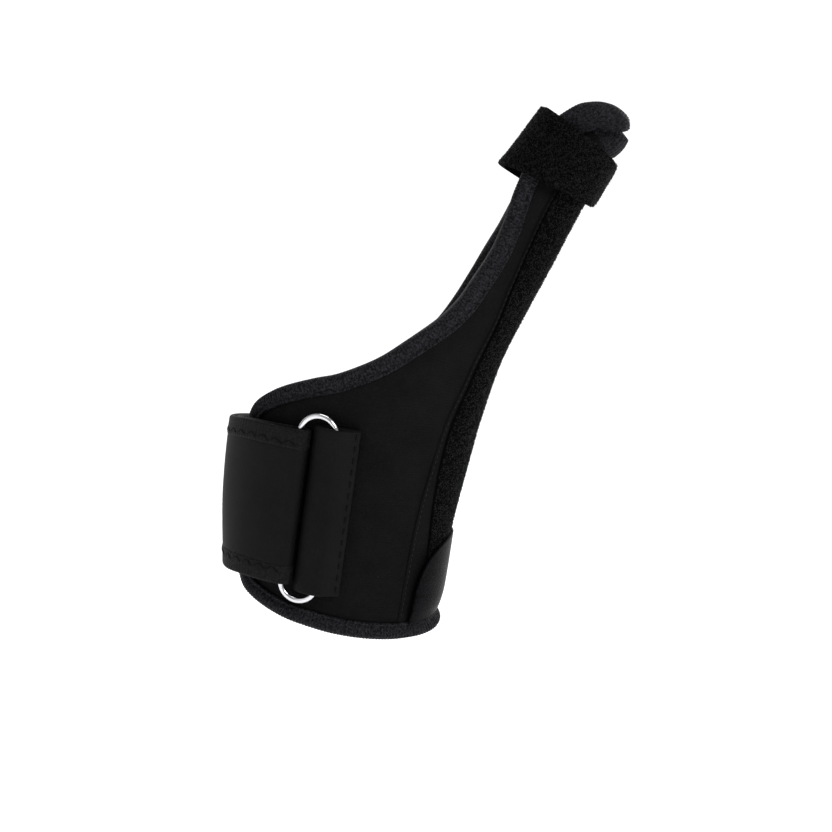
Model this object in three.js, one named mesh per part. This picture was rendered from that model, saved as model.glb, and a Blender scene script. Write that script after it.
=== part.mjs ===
// A thumb spica splint for a right hand, in millimetres, in the form that it has when it is worn.
// +Z runs up the forearm, +X points to the thumb side, and +Y to the back of the hand.
// The origin is the middle of the wrist opening, at the level of the rim's thumb side.
import * as THREE from 'three';
import { mergeVertices } from 'three/addons/utils/BufferGeometryUtils.js';

// The hollow that the wrist and thumb fill, measured to the middle of the cloth's wall
const wristWidth = 54.8;
const wristDepth = 40;
const thumbWidth = 21;
const thumbDepth = 20;
const thumbLength = 102; // from the cuff's top to the tip of the thumb sleeve
const thumbReach = 40; // how far the tip stands out past the wrist's thumb side
const thumbLean = 24; // degrees from the forearm's line

// Cloth, tapes and metal
const wall = 3;
const gap = 0.3;
const bindingWidth = 5;
const bindingWall = 1.1;
const bindingGap = 0.85; // between the panel's edge and the binding
const footBulge = 2.4; // how far the binding swells where it takes in the sleeve, at the foot and the tip
const pocketWall = 0.7;
const loopStripWidth = 26; // where it is 1 in the table below
const loopStripWall = 1;
const patchWidth = 32;
const patchHeight = 27;
const patchWall = 0.8;
const strapWidth = 46;
const strapWall = 1.3;
const strapHemWidth = 6;
const strapHemWall = 1.6;
const strapFoot = 4.5; // the strap's lower edge above the origin, at the ring
const strapHead = 1.5; // from the strap's upper edge to the cuff's top, at the ring
const strapFall = 6; // how far the strap drops on its way from the ring round to the back
const strapEase = 1.2; // how far it stands off the binding that it passes over
const strapStart = 1.62; // where it is sewn to the back, as a share of the way half round the wrist
const overStart = 1.29; // where it leaves the panel and passes over the binding
const overEnd = 0.84; // where it comes back down to the panel
const cuffHeight = strapFoot + strapWidth + strapHead;
const ringWidth = 12.8;
const ringWire = 1.8;
const ringGrip = 0.7; // how far each edge of the strap runs into the ring's rounded end
const ringLength = strapWidth + ringWidth - 2 * ringGrip;
const ringAround = 49.5; // from the widest line round to the ring's middle
const ringDrift = 0.9; // how far its top lies round towards the thumb from its foot
const tabWall = 1.5;
const tabRun = 6.2; // from the ring's thumb-side bar to the tab's sewn edge
const tabSlack = 3; // how far its loop stands past the bar, and below it
const tabDroop = 0.5;
const tabInset = 4; // from the ring's end to the tab's edge
const tabWidth = ringLength - 2 * tabInset;
const thumbStrapWidth = 20.8;
const thumbStrapWall = 1.1;
const thumbStrapDrop = 30.5; // from the thumb sleeve's tip down to its lower edge
const thumbStrapTaper = 7.5;

// Rows up the splint. cuff and thumb are shares of cuffHeight and thumbLength and give the height of the
// section's thumb side. out is a share of thumbReach, lean of thumbLean, and palmward of wristDepth.
// thumbness goes from the wrist's section to the thumb's, and bulk swells the wrist's share of it.
const stations = [
  { cuff: -0.3, thumb: 0, out: 0.025, lean: 0, thumbness: 0, bulk: 1.02, palmward: 0 },
  { cuff: 0, thumb: 0, out: 0.032, lean: 0, thumbness: 0, bulk: 1.045, palmward: 0 },
  { cuff: 0.5, thumb: 0, out: 0.062, lean: 0, thumbness: 0, bulk: 1.075, palmward: 0.015 },
  { cuff: 1, thumb: 0, out: 0.127, lean: 0.05, thumbness: 0.02, bulk: 1.165, palmward: 0.035 },
  { cuff: 1, thumb: 0.1, out: 0.165, lean: 0.25, thumbness: 0.1, bulk: 1.21, palmward: 0.08 },
  { cuff: 1, thumb: 0.245, out: 0.243, lean: 0.56, thumbness: 0.35, bulk: 1.28, palmward: 0.14 },
  { cuff: 1, thumb: 0.392, out: 0.382, lean: 0.8, thumbness: 0.62, bulk: 1.38, palmward: 0.17 },
  { cuff: 1, thumb: 0.549, out: 0.552, lean: 0.94, thumbness: 0.85, bulk: 1.5, palmward: 0.18 },
  { cuff: 1, thumb: 0.676, out: 0.688, lean: 0.98, thumbness: 0.95, bulk: 1.5, palmward: 0.18 },
  { cuff: 1, thumb: 0.87, out: 0.905, lean: 1, thumbness: 1, bulk: 1.5, palmward: 0.18 },
  { cuff: 1, thumb: 1.05, out: 1.105, lean: 1, thumbness: 1.03, bulk: 1.5, palmward: 0.18 },
];

// The cut edge of the main panel, in four sides that meet at the wings' lower corners and beside the
// thumb strap. cuff and thumb are heights as above, and turn is the angle round the section from the
// thumb side, in degrees, towards the palm where it is above 0 and towards the back where it is below.
const rimSide = [
  { cuff: 0.1, thumb: 0, turn: 167 },
  { cuff: 0.03, thumb: 0, turn: 161 },
  { cuff: -0.04, thumb: 0, turn: 150 },
  { cuff: -0.125, thumb: 0, turn: 122 },
  { cuff: -0.16, thumb: 0, turn: 103 },
  { cuff: -0.185, thumb: 0, turn: 85 },
  { cuff: -0.197, thumb: 0, turn: 62 },
  { cuff: -0.19, thumb: 0, turn: 38 },
  { cuff: -0.16, thumb: 0, turn: 18 },
  { cuff: -0.13, thumb: 0, turn: 0 },
  { cuff: -0.125, thumb: 0, turn: -25 },
  { cuff: -0.14, thumb: 0, turn: -60 },
  { cuff: -0.15, thumb: 0, turn: -90 },
  { cuff: -0.13, thumb: 0, turn: -120 },
  { cuff: -0.05, thumb: 0, turn: -150 },
  { cuff: 0.03, thumb: 0, turn: -161 },
  { cuff: 0.1, thumb: 0, turn: -167 },
];
const palmSide = [
  { cuff: 0.1, thumb: 0, turn: 167 },
  { cuff: 0.22, thumb: 0, turn: 169 },
  { cuff: 0.5, thumb: 0, turn: 169.5 },
  { cuff: 0.8, thumb: 0, turn: 169.5 },
  { cuff: 0.93, thumb: 0, turn: 167 },
  { cuff: 1, thumb: 0.014, turn: 159 },
  { cuff: 1, thumb: 0.05, turn: 143 },
  { cuff: 1, thumb: 0.09, turn: 120 },
  { cuff: 1, thumb: 0.115, turn: 107 },
  { cuff: 1, thumb: 0.165, turn: 93 },
  { cuff: 1, thumb: 0.225, turn: 84 },
  { cuff: 1, thumb: 0.29, turn: 76.5 },
  { cuff: 1, thumb: 0.34, turn: 74 },
  { cuff: 1, thumb: 0.39, turn: 75 },
  { cuff: 1, thumb: 0.49, turn: 82 },
  { cuff: 1, thumb: 0.57, turn: 94.5 },
  { cuff: 1, thumb: 0.655, turn: 112 },
  { cuff: 1, thumb: 0.73, turn: 123 },
  { cuff: 1, thumb: 0.8, turn: 129.5 },
  { cuff: 1, thumb: 0.86, turn: 131 },
];
// At the tip, which is all tape, inThumb and inTurn give the tape's inner edge.
const tipSide = [
  { cuff: 1, thumb: 0.86, turn: 131, inThumb: 0.855, inTurn: 104 },
  { cuff: 1, thumb: 0.9, turn: 125, inThumb: 0.872, inTurn: 101 },
  { cuff: 1, thumb: 0.935, turn: 108, inThumb: 0.888, inTurn: 92 },
  { cuff: 1, thumb: 0.96, turn: 85, inThumb: 0.9, inTurn: 79 },
  { cuff: 1, thumb: 0.975, turn: 60, inThumb: 0.905, inTurn: 69 },
  { cuff: 1, thumb: 0.975, turn: 38, inThumb: 0.902, inTurn: 62 },
  { cuff: 1, thumb: 0.962, turn: 21, inThumb: 0.893, inTurn: 58 },
  { cuff: 1, thumb: 0.937, turn: 14, inThumb: 0.882, inTurn: 56 },
  { cuff: 1, thumb: 0.913, turn: 22, inThumb: 0.871, inTurn: 54 },
  { cuff: 1, thumb: 0.89, turn: 35, inThumb: 0.858, inTurn: 51 },
  { cuff: 1, thumb: 0.872, turn: 44, inThumb: 0.843, inTurn: 46 },
  { cuff: 1, thumb: 0.863, turn: 37, inThumb: 0.837, inTurn: 38 },
  { cuff: 1, thumb: 0.875, turn: 28, inThumb: 0.837, inTurn: 29 },
  { cuff: 1, thumb: 0.889, turn: 15, inThumb: 0.84, inTurn: 17 },
  { cuff: 1, thumb: 0.9, turn: 0, inThumb: 0.845, inTurn: 2 },
  { cuff: 1, thumb: 0.906, turn: -16, inThumb: 0.848, inTurn: -13 },
  { cuff: 1, thumb: 0.906, turn: -33, inThumb: 0.85, inTurn: -28 },
  { cuff: 1, thumb: 0.9, turn: -55, inThumb: 0.848, inTurn: -46 },
  { cuff: 1, thumb: 0.885, turn: -79, inThumb: 0.84, inTurn: -64 },
  { cuff: 1, thumb: 0.855, turn: -100, inThumb: 0.822, inTurn: -80 },
  { cuff: 1, thumb: 0.8, turn: -115, inThumb: 0.795, inTurn: -88 },
];
const backSide = [
  { cuff: 0.1, thumb: 0, turn: -167 },
  { cuff: 0.22, thumb: 0, turn: -169 },
  { cuff: 0.5, thumb: 0, turn: -169.5 },
  { cuff: 0.76, thumb: 0, turn: -169 },
  { cuff: 0.88, thumb: 0, turn: -165 },
  { cuff: 0.95, thumb: 0, turn: -155 },
  { cuff: 0.99, thumb: 0, turn: -138 },
  { cuff: 1, thumb: 0.02, turn: -118 },
  { cuff: 1, thumb: 0.06, turn: -101 },
  { cuff: 1, thumb: 0.12, turn: -88 },
  { cuff: 1, thumb: 0.2, turn: -78 },
  { cuff: 1, thumb: 0.3, turn: -73 },
  { cuff: 1, thumb: 0.42, turn: -79 },
  { cuff: 1, thumb: 0.54, turn: -92 },
  { cuff: 1, thumb: 0.67, turn: -108 },
  { cuff: 1, thumb: 0.8, turn: -115 },
];

// The sides of the sleeve for the stay and of the pile strip on it, as shares of loopStripWidth / 2.
const stripSides = [
  { cuff: -0.1, thumb: 0, sleeve: 1.3, strip: 0.88 },
  { cuff: 0.35, thumb: 0, sleeve: 1.29, strip: 0.98 },
  { cuff: 0.64, thumb: 0, sleeve: 1.28, strip: 1.13 },
  { cuff: 0.87, thumb: 0, sleeve: 1.26, strip: 1.2 },
  { cuff: 1, thumb: 0.05, sleeve: 1.21, strip: 1.16 },
  { cuff: 1, thumb: 0.18, sleeve: 1.01, strip: 0.96 },
  { cuff: 1, thumb: 0.316, sleeve: 0.9, strip: 0.85 },
  { cuff: 1, thumb: 0.44, sleeve: 0.99, strip: 0.94 },
  { cuff: 1, thumb: 0.57, sleeve: 1.06, strip: 1.01 },
  { cuff: 1, thumb: 0.83, sleeve: 1.05, strip: 1 },
];
const acrossSteps = 38;
const upSteps = 31;
const strapSteps = 13;

const lerp = THREE.MathUtils.lerp;
const heightOf = (row) => row.cuff * cuffHeight + row.thumb * thumbLength;

// A column of a table at a height, on a smooth curve through its rows.
function column(rows, name, height) {
  const last = rows.length - 2;
  let row = 0;
  while (row < last && heightOf(rows[row + 1]) < height) row += 1;
  const slopeAt = (i) => {
    const before = rows[Math.max(i - 1, 0)];
    const after = rows[Math.min(i + 1, rows.length - 1)];
    return (after[name] - before[name]) / (heightOf(after) - heightOf(before));
  };
  const low = rows[row];
  const high = rows[row + 1];
  const span = heightOf(high) - heightOf(low);
  const t = THREE.MathUtils.clamp((height - heightOf(low)) / span, 0, 1);
  const rise = t * t * (3 - 2 * t);
  const bend = slopeAt(row) * span * t * (1 - t) * (1 - t) - slopeAt(row + 1) * span * t * t * (1 - t);
  return lerp(low[name], high[name], rise) + bend;
}

// The section of the wall's middle at the height of its thumb side.
function sectionAt(height) {
  const lean = THREE.MathUtils.degToRad(thumbLean * column(stations, 'lean', height));
  const thumbness = column(stations, 'thumbness', height);
  const bulk = column(stations, 'bulk', height);
  const halfWidth = lerp(wristWidth * bulk, thumbWidth, thumbness) / 2;
  const halfDepth = lerp(wristDepth * bulk, thumbDepth, thumbness) / 2;
  const across = new THREE.Vector3(Math.cos(lean), 0, -Math.sin(lean));
  const out = wristWidth / 2 + thumbReach * column(stations, 'out', height);
  const centre = new THREE.Vector3(out, 0, height);
  centre.addScaledVector(across, -halfWidth);
  centre.y = -wristDepth * column(stations, 'palmward', height);
  return { centre, across, halfWidth, halfDepth };
}

function middlePoint(height, turn) {
  const section = sectionAt(height);
  const angle = THREE.MathUtils.degToRad(turn);
  const point = section.centre.clone();
  point.addScaledVector(section.across, section.halfWidth * Math.cos(angle));
  point.y -= section.halfDepth * Math.sin(angle);
  return point;
}

// A point off the wall's middle along its normal, at a height and turn.
function shellPoint(height, turn, lift) {
  const step = 0.5;
  const up = middlePoint(height + step, turn).sub(middlePoint(height - step, turn));
  const round = middlePoint(height, turn + step).sub(middlePoint(height, turn - step));
  const normal = up.cross(round).normalize();
  return middlePoint(height, turn).addScaledVector(normal, lift);
}

// The turn that lies a distance round the section from the thumb side, or from another turn, positive
// towards the palm.
function turnAt(height, around, from = 0) {
  const { halfWidth, halfDepth } = sectionAt(height);
  const stride = Math.sign(around) * 0.5;
  let angle = THREE.MathUtils.degToRad(from);
  for (let left = Math.abs(around); left > 0; left -= Math.abs(stride)) {
    const part = Math.min(1, left / Math.abs(stride));
    angle += (part * stride) / Math.hypot(halfWidth * Math.sin(angle), halfDepth * Math.cos(angle));
  }
  return THREE.MathUtils.radToDeg(angle);
}

const onSplint = (height, around, lift) => shellPoint(height, turnAt(height, around), lift);

// The same for the wrist strap and what holds it: straight from the strap's lower edge to its upper one,
// and measured round from the ring's middle, so that the ring's two bars stay parallel.
const ringTurn = turnAt(strapFoot + strapWidth / 2, ringAround);

function onCuff(height, around, lift) {
  const corner = (level, drift) => {
    return shellPoint(level, turnAt(level, around - ringAround + drift, ringTurn), lift);
  };
  const low = corner(strapFoot, ringDrift / 2);
  const high = corner(strapFoot + strapWidth, -ringDrift / 2);
  return low.lerp(high, (height - strapFoot) / strapWidth);
}

// A closed slab: place(i, j, side) gives its corners, with side 0 beneath and 1 on top.
function slab(steps, lanes, place) {
  const positions = [];
  const index = [];
  const at = (i, j, side) => (i * (lanes + 1) + j) * 2 + side;
  for (let i = 0; i <= steps; i += 1) {
    for (let j = 0; j <= lanes; j += 1) {
      positions.push(...place(i / steps, j / lanes, 0), ...place(i / steps, j / lanes, 1));
    }
  }
  const quad = (a, b, c, d) => index.push(a, b, c, a, c, d);
  for (let i = 0; i < steps; i += 1) {
    for (let j = 0; j < lanes; j += 1) {
      quad(at(i, j, 1), at(i + 1, j, 1), at(i + 1, j + 1, 1), at(i, j + 1, 1));
      quad(at(i, j, 0), at(i, j + 1, 0), at(i + 1, j + 1, 0), at(i + 1, j, 0));
    }
    quad(at(i, 0, 0), at(i + 1, 0, 0), at(i + 1, 0, 1), at(i, 0, 1));
    quad(at(i, lanes, 1), at(i + 1, lanes, 1), at(i + 1, lanes, 0), at(i, lanes, 0));
  }
  for (let j = 0; j < lanes; j += 1) {
    quad(at(0, j, 1), at(0, j + 1, 1), at(0, j + 1, 0), at(0, j, 0));
    quad(at(steps, j, 0), at(steps, j + 1, 0), at(steps, j + 1, 1), at(steps, j, 1));
  }
  return facingOut(positions, index);
}

// A closed loop: rings[i] holds the corners of its section, in order.
function loop(rings) {
  const index = [];
  const corners = rings[0].length;
  rings.forEach((ring, i) => {
    const next = (i + 1) % rings.length;
    for (let k = 0; k < corners; k += 1) {
      const along = (k + 1) % corners;
      const [a, b] = [i * corners + k, i * corners + along];
      const [c, d] = [next * corners + along, next * corners + k];
      index.push(a, b, c, a, c, d);
    }
  });
  return facingOut(rings.flat().flatMap((p) => p.toArray()), index);
}

// A geometry of these corners and triangles, turned round if its faces point in.
function facingOut(positions, index) {
  const geometry = new THREE.BufferGeometry();
  geometry.setAttribute('position', new THREE.Float32BufferAttribute(positions, 3));
  const corner = (i) => new THREE.Vector3().fromArray(positions, index[i] * 3);
  let volume = 0;
  for (let i = 0; i < index.length; i += 3) volume += corner(i).dot(corner(i + 1).cross(corner(i + 2)));
  geometry.setIndex(volume > 0 ? index : index.reverse());
  return mergeVertices(geometry, 1e-4);
}

// Places along one side of the edge, evenly spaced from row to row of its table.
function spread(side, steps) {
  const curveOf = (name, turnName) =>
    new THREE.CatmullRomCurve3(
      side.map((row) => new THREE.Vector3(heightOf({ cuff: row.cuff, thumb: row[name] }), row[turnName], 0)),
      false,
      'catmullrom',
      0.5
    );
  const outer = curveOf('thumb', 'turn');
  const inner = side[0].inThumb === undefined ? null : curveOf('inThumb', 'inTurn');
  return Array.from({ length: steps + 1 }, (_, i) => {
    const at = outer.getPoint(i / steps);
    const within = inner && inner.getPoint(i / steps);
    return { height: at.x, turn: at.y, within: within && { height: within.x, turn: within.y } };
  });
}

// Moves a point of the pattern over the wall by a distance in space.
function walk(from, direction, distance) {
  const step = 0.5;
  let { height, turn } = from;
  const strides = 3;
  for (let i = 0; i < strides; i += 1) {
    const up = middlePoint(height + step, turn).sub(middlePoint(height - step, turn));
    const round = middlePoint(height, turn + step).sub(middlePoint(height, turn - step));
    const [uu, ur, rr] = [up.dot(up), up.dot(round), round.dot(round)];
    const [du, dr] = [up.dot(direction), round.dot(direction)];
    const scale = distance / strides / (uu * rr - ur * ur);
    height += (du * rr - dr * ur) * scale;
    turn += (dr * uu - du * ur) * scale;
  }
  return { height, turn };
}

const rim = spread(rimSide, acrossSteps);
const palm = spread(palmSide, upSteps);
const tip = spread(tipSide, acrossSteps);
const back = spread(backSide, upSteps);

// The whole edge in one run, from the palm wing's lower corner up the palm side and round.
const edge = [
  ...palm.slice(0, -1),
  ...tip.slice(0, -1),
  ...back.slice(1).reverse(),
  ...rim.slice(1).reverse(),
];

// The direction over the wall from a point of the edge into the panel.
function inward(i) {
  const count = edge.length;
  const here = edge[i];
  const [before, after] = [edge[(i + count - 1) % count], edge[(i + 1) % count]];
  const run = middlePoint(after.height, after.turn).sub(middlePoint(before.height, before.turn));
  const normal = shellPoint(here.height, here.turn, 1).sub(middlePoint(here.height, here.turn));
  return normal.cross(run).normalize().negate();
}

// The line a share of the tape's width in from the edge, and a further distance past it.
function inFromEdge(i, share, past) {
  const { within } = edge[i];
  if (!within) return walk(edge[i], inward(i), share * bindingWidth + past);
  const place = {
    height: lerp(edge[i].height, within.height, share),
    turn: lerp(edge[i].turn, within.turn, share),
  };
  if (!past) return place;
  const here = middlePoint(within.height, within.turn);
  const run = here.sub(middlePoint(edge[i].height, edge[i].turn)).normalize();
  return walk(place, run, past);
}

const panelEdge = edge.map((_, i) => inFromEdge(i, 1, bindingGap));

// The panel is filled in between its four sides, in the pattern's own coordinates.
function panelPoint(across, up) {
  const sideAt = (start, count, t) => {
    const place = t * count;
    const whole = Math.min(Math.floor(place), count - 1);
    const wrap = (i) => panelEdge[(i + panelEdge.length) % panelEdge.length];
    const [a, b] = [wrap(start + whole), wrap(start + whole + 1)];
    const part = place - whole;
    return [lerp(a.height, b.height, part), lerp(a.turn, b.turn, part)];
  };
  const tipStart = upSteps;
  const backStart = upSteps + acrossSteps;
  const rimStart = 2 * upSteps + acrossSteps;
  const left = sideAt(0, upSteps, up);
  const right = sideAt(backStart, upSteps, 1 - up);
  const top = sideAt(tipStart, acrossSteps, across);
  const bottom = sideAt(rimStart, acrossSteps, 1 - across);
  const corners = [
    sideAt(0, upSteps, 0),
    sideAt(backStart, upSteps, 1),
    sideAt(0, upSteps, 1),
    sideAt(backStart, upSteps, 0),
  ];
  const [height, turn] = [0, 1].map((k) => {
    const sides = lerp(left[k], right[k], across) + lerp(bottom[k], top[k], up);
    const low = lerp(corners[0][k], corners[1][k], across);
    const high = lerp(corners[2][k], corners[3][k], across);
    return sides - lerp(low, high, up);
  });
  return { height, turn };
}

function mainPanel() {
  return slab(upSteps, acrossSteps, (up, across, side) => {
    const { height, turn } = panelPoint(across, up);
    return shellPoint(height, turn, side ? wall / 2 : -wall / 2);
  });
}

// The knitted tape folded over the cut edge all the way round, with a rounded fold.
function edgeBinding() {
  const half = wall / 2 + bindingWall;
  const profile = [
    { inward: 1, lift: 0.8 },
    { inward: 0.55, lift: 1 },
    { inward: 0.12, lift: 0.85 },
    { inward: 0, lift: 0 },
    { inward: 0.12, lift: -0.85 },
    { inward: 0.55, lift: -1 },
    { inward: 1, lift: -0.8 },
  ];
  return loop(
    edge.map((point, i) => {
      const bulge = footBulge * Math.exp(-((point.turn / 36) ** 4));
      return profile.map((corner) => {
        const { height, turn } = inFromEdge(i, corner.inward, 0);
        const rise = Math.max(0, corner.lift) * (1 - corner.inward) * bulge;
        return shellPoint(height, turn, corner.lift * half + rise);
      });
    })
  );
}

// Heights above the wall's middle of what lies on the thumb side, layer on layer
const pocketFoot = wall / 2 + gap;
const stripFoot = pocketFoot + pocketWall + gap;
const patchFoot = stripFoot + loopStripWall + gap;
const overRim = bindingWidth + 2 * gap;
const stripTop = cuffHeight + 0.825 * thumbLength;
const sideAt = (name, height) => (column(stripSides, name, height) * loopStripWidth) / 2;

// How high the pieces on the thumb side start, over the rim's binding, at a distance round.
function footAt(around) {
  const turn = turnAt(0, around);
  const miss = (place) => Math.abs(place.turn - turn);
  const nearest = rim.reduce((best, place) => (miss(place) < miss(best) ? place : best));
  return nearest.height + overRim;
}

// A piece on the thumb side, whose sides are a column of the table.
function sideLayer(name, wallThickness, under, rise) {
  return slab(30, 7, (up, across, side) => {
    const share = 1 - 2 * across;
    const foot = footAt(share * sideAt(name, 0)) + rise;
    const height = lerp(foot, stripTop, up);
    return onSplint(height, share * sideAt(name, height), under + side * wallThickness);
  });
}

// The sleeve that holds the stay.
const staySleeve = () => sideLayer('sleeve', pocketWall, pocketFoot, 0);

// The pile strip over the sleeve. Its foot ends under the patch.
const loopStrip = () => sideLayer('strip', loopStripWall, stripFoot, patchHeight * 0.45);

// The arched patch that closes the sleeve's foot.
function footPatch() {
  return slab(10, 12, (up, across, side) => {
    const share = 2 * across - 1;
    const arch = (1 - Math.abs(share) ** 2.6) ** (1 / 2.6);
    const around = (-share * patchWidth) / 2;
    const rise = up * lerp(0.12, 1, arch) * patchHeight;
    return onSplint(footAt(around) + rise, around, patchFoot + side * patchWall);
  });
}

// The ring's bars lie along the cuff, and its frame is taken from the places of their ends.
const barSpacing = ringWidth - ringWire;
const innerLayer = wall / 2 + gap + strapHemWall / 2;
const foldRadius = ringWire / 2 + 1.5 * gap + strapHemWall / 2;
const barLift = innerLayer + foldRadius;
const ringMiddle = strapFoot + strapWidth / 2;
const ringAcross = (half) => {
  const [a, b] = [ringAround + half, ringAround - half];
  return onCuff(ringMiddle, a, barLift).distanceTo(onCuff(ringMiddle, b, barLift));
};
const halfBars = barSpacing ** 2 / 2 / ringAcross(barSpacing / 2);
const strapBar = ringAround + halfBars;
const tabBar = ringAround - halfBars;

function strapRing() {
  const end = (around, height) => onCuff(height, around, barLift);
  const straight = ringLength - ringWidth;
  const [low, high] = [ringMiddle - straight / 2, ringMiddle + straight / 2];
  const [lowLeft, lowRight] = [end(strapBar, low), end(tabBar, low)];
  const [highLeft, highRight] = [end(strapBar, high), end(tabBar, high)];
  const upward = highLeft.clone().add(highRight).sub(lowLeft).sub(lowRight).normalize();
  const sideways = lowRight.clone().add(highRight).sub(lowLeft).sub(highLeft);
  sideways.addScaledVector(upward, -sideways.dot(upward)).normalize();
  const outward = sideways.clone().cross(upward);
  const centre = lowLeft.clone().add(lowRight).add(highLeft).add(highRight).divideScalar(4);
  const bend = barSpacing / 2;
  const arcSteps = 8;
  const sides = 10;
  const spine = [];
  [1, -1].forEach((way) => {
    for (let i = 0; i <= arcSteps; i += 1) {
      const angle = (Math.PI * i) / arcSteps;
      const [x, z] = [way * bend * Math.cos(angle), way * bend * Math.sin(angle)];
      spine.push({ x, z: z + (way * straight) / 2, angle: angle + (way < 0 ? Math.PI : 0) });
    }
  });
  return loop(
    spine.map(({ x, z, angle }) =>
      Array.from({ length: sides }, (_, k) => {
        const turn = (2 * Math.PI * k) / sides;
        const reach = (ringWire / 2) * Math.cos(turn);
        return centre
          .clone()
          .addScaledVector(sideways, x + reach * Math.cos(angle))
          .addScaledVector(upward, z + reach * Math.sin(angle))
          .addScaledVector(outward, (ringWire / 2) * Math.sin(turn));
      })
    )
  );
}

// A band that follows a path of places round the cuff and heights above the wall's middle.
function bandAlong(path, low, high, thickness, lanes) {
  const steps = path.length - 1;
  const spotsOnPath = path.map((point, i) => {
    const [a, b] = [path[Math.max(i - 1, 0)], path[Math.min(i + 1, steps)]];
    const run = new THREE.Vector2(b.around - a.around, b.lift - a.lift).normalize();
    return { ...point, normal: new THREE.Vector2(-run.y, run.x) };
  });
  return slab(steps, lanes, (along, across, side) => {
    const point = spotsOnPath[Math.round(along * steps)];
    const off = (side - 0.5) * thickness;
    const fall = strapFall * Math.max(0, point.around / halfRound - overEnd);
    const height = lerp(low, high, across) - fall;
    return onCuff(height, point.around + point.normal.x * off, point.lift + point.normal.y * off);
  });
}

// The wrist strap runs from the back wing round the little-finger side, through the ring and back over
// itself.
const halfRound = Math.PI * Math.sqrt((wristWidth ** 2 + wristDepth ** 2) / 8) * 1.05;
const overBinding = wall / 2 + bindingWall + gap + strapEase + strapHemWall / 2;
const backSeat = innerLayer + 2 * gap;
const outerLayer = overBinding + strapHemWall + gap;

function strapPath() {
  const under = [];
  const wrapped = [];
  for (let i = 0; i <= strapSteps; i += 1) {
    const share = lerp(strapStart, overEnd, i / strapSteps);
    const around = share * halfRound;
    under.push({ around, lift: share > overStart ? backSeat : overBinding });
    if (share <= overStart) wrapped.unshift({ around, lift: outerLayer });
  }
  const last = under[strapSteps];
  const foldSteps = 8;
  const fold = Array.from({ length: foldSteps + 1 }, (_, i) => {
    const angle = -Math.PI / 2 - (Math.PI * i) / foldSteps;
    return {
      around: strapBar + foldRadius * Math.cos(angle),
      lift: barLift + foldRadius * Math.sin(angle),
    };
  });
  const between = (from, to) => {
    const spots = 3;
    return Array.from({ length: spots }, (_, i) => {
      const t = (i + 1) / (spots + 1);
      const ease = t * t * (3 - 2 * t);
      return { around: lerp(from.around, to.around, t), lift: lerp(from.lift, to.lift, ease) };
    });
  };
  const down = between(last, fold[0]);
  const up = between(fold[foldSteps], wrapped[0]);
  return [...under, ...down, ...fold, ...up, ...wrapped];
}

const strapTop = strapFoot + strapWidth;
const wristStrap = () =>
  bandAlong(strapPath(), strapFoot + strapHemWidth + gap, strapTop - strapHemWidth - gap, strapWall, 2);
const lowerHem = () => bandAlong(strapPath(), strapFoot, strapFoot + strapHemWidth, strapHemWall, 1);
const upperHem = () => bandAlong(strapPath(), strapTop - strapHemWidth, strapTop, strapHemWall, 1);

// The tab that holds the ring: up from the panel, round the bar and down again to its sewn edge.
function ringTab() {
  const seat = wall / 2 + gap + tabWall / 2;
  const tabFold = ringWire / 2 + 2.2 * gap + tabWall / 2;
  const sewn = tabBar - tabRun;
  const path = [
    { around: sewn, lift: seat },
    { around: lerp(sewn, tabBar, 0.4), lift: seat },
    { around: lerp(sewn, tabBar, 0.75), lift: lerp(seat, barLift - tabFold, 0.7) },
  ];
  const foldSteps = 8;
  for (let i = 0; i <= foldSteps; i += 1) {
    const angle = -Math.PI / 2 + (Math.PI * i) / foldSteps;
    path.push({
      around: tabBar + (tabFold + tabSlack) * Math.cos(angle),
      lift: barLift + tabFold * Math.sin(angle) - tabDroop * Math.cos(angle),
    });
  }
  const topSeat = seat + tabWall + gap;
  [0.25, 0.5, 0.75, 1].forEach((t) => {
    const ease = t * t * (3 - 2 * t);
    path.push({ around: lerp(tabBar, sewn, t), lift: lerp(barLift + tabFold, topSeat, ease) });
  });
  const middle = strapFoot + strapWidth / 2;
  return bandAlong(path, middle - tabWidth / 2, middle + tabWidth / 2, tabWall, 2);
}

// The thumb strap, from its sewn end on the back round to its free end on the thumb side.
const thumbStrapRows = [
  { turn: -60, on: 'strip' },
  { turn: -70, on: 'strip' },
  { turn: -81, on: 'strip' },
  { turn: -93, on: 'binding' },
  { turn: -106, on: 'binding' },
  { turn: -119, on: 'binding' },
  { turn: -132, on: 'thumb' },
  { turn: -145, on: 'thumb' },
  { turn: -157, on: 'thumb' },
  { turn: -168, on: 'thumb' },
  { turn: -178, on: 'thumb' },
  { turn: -188, on: 'thumb' },
  { turn: -198, on: 'thumb' },
  { turn: -209, on: 'thumb' },
  { turn: -220, on: 'binding' },
  { turn: -232, on: 'binding' },
  { turn: -244, on: 'binding' },
  { turn: -256, on: 'binding' },
  { turn: -268, on: 'binding' },
  { turn: -279, on: 'strip' },
  { turn: -290, on: 'strip' },
  { turn: -301, on: 'strip' },
  { turn: -313, on: 'strip' },
  { turn: -326, on: 'strip' },
  { turn: -339, on: 'strip' },
  { turn: -350, on: 'strip' },
  { turn: -356, on: 'strip' },
  { turn: -361, on: 'strip' },
];

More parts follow.
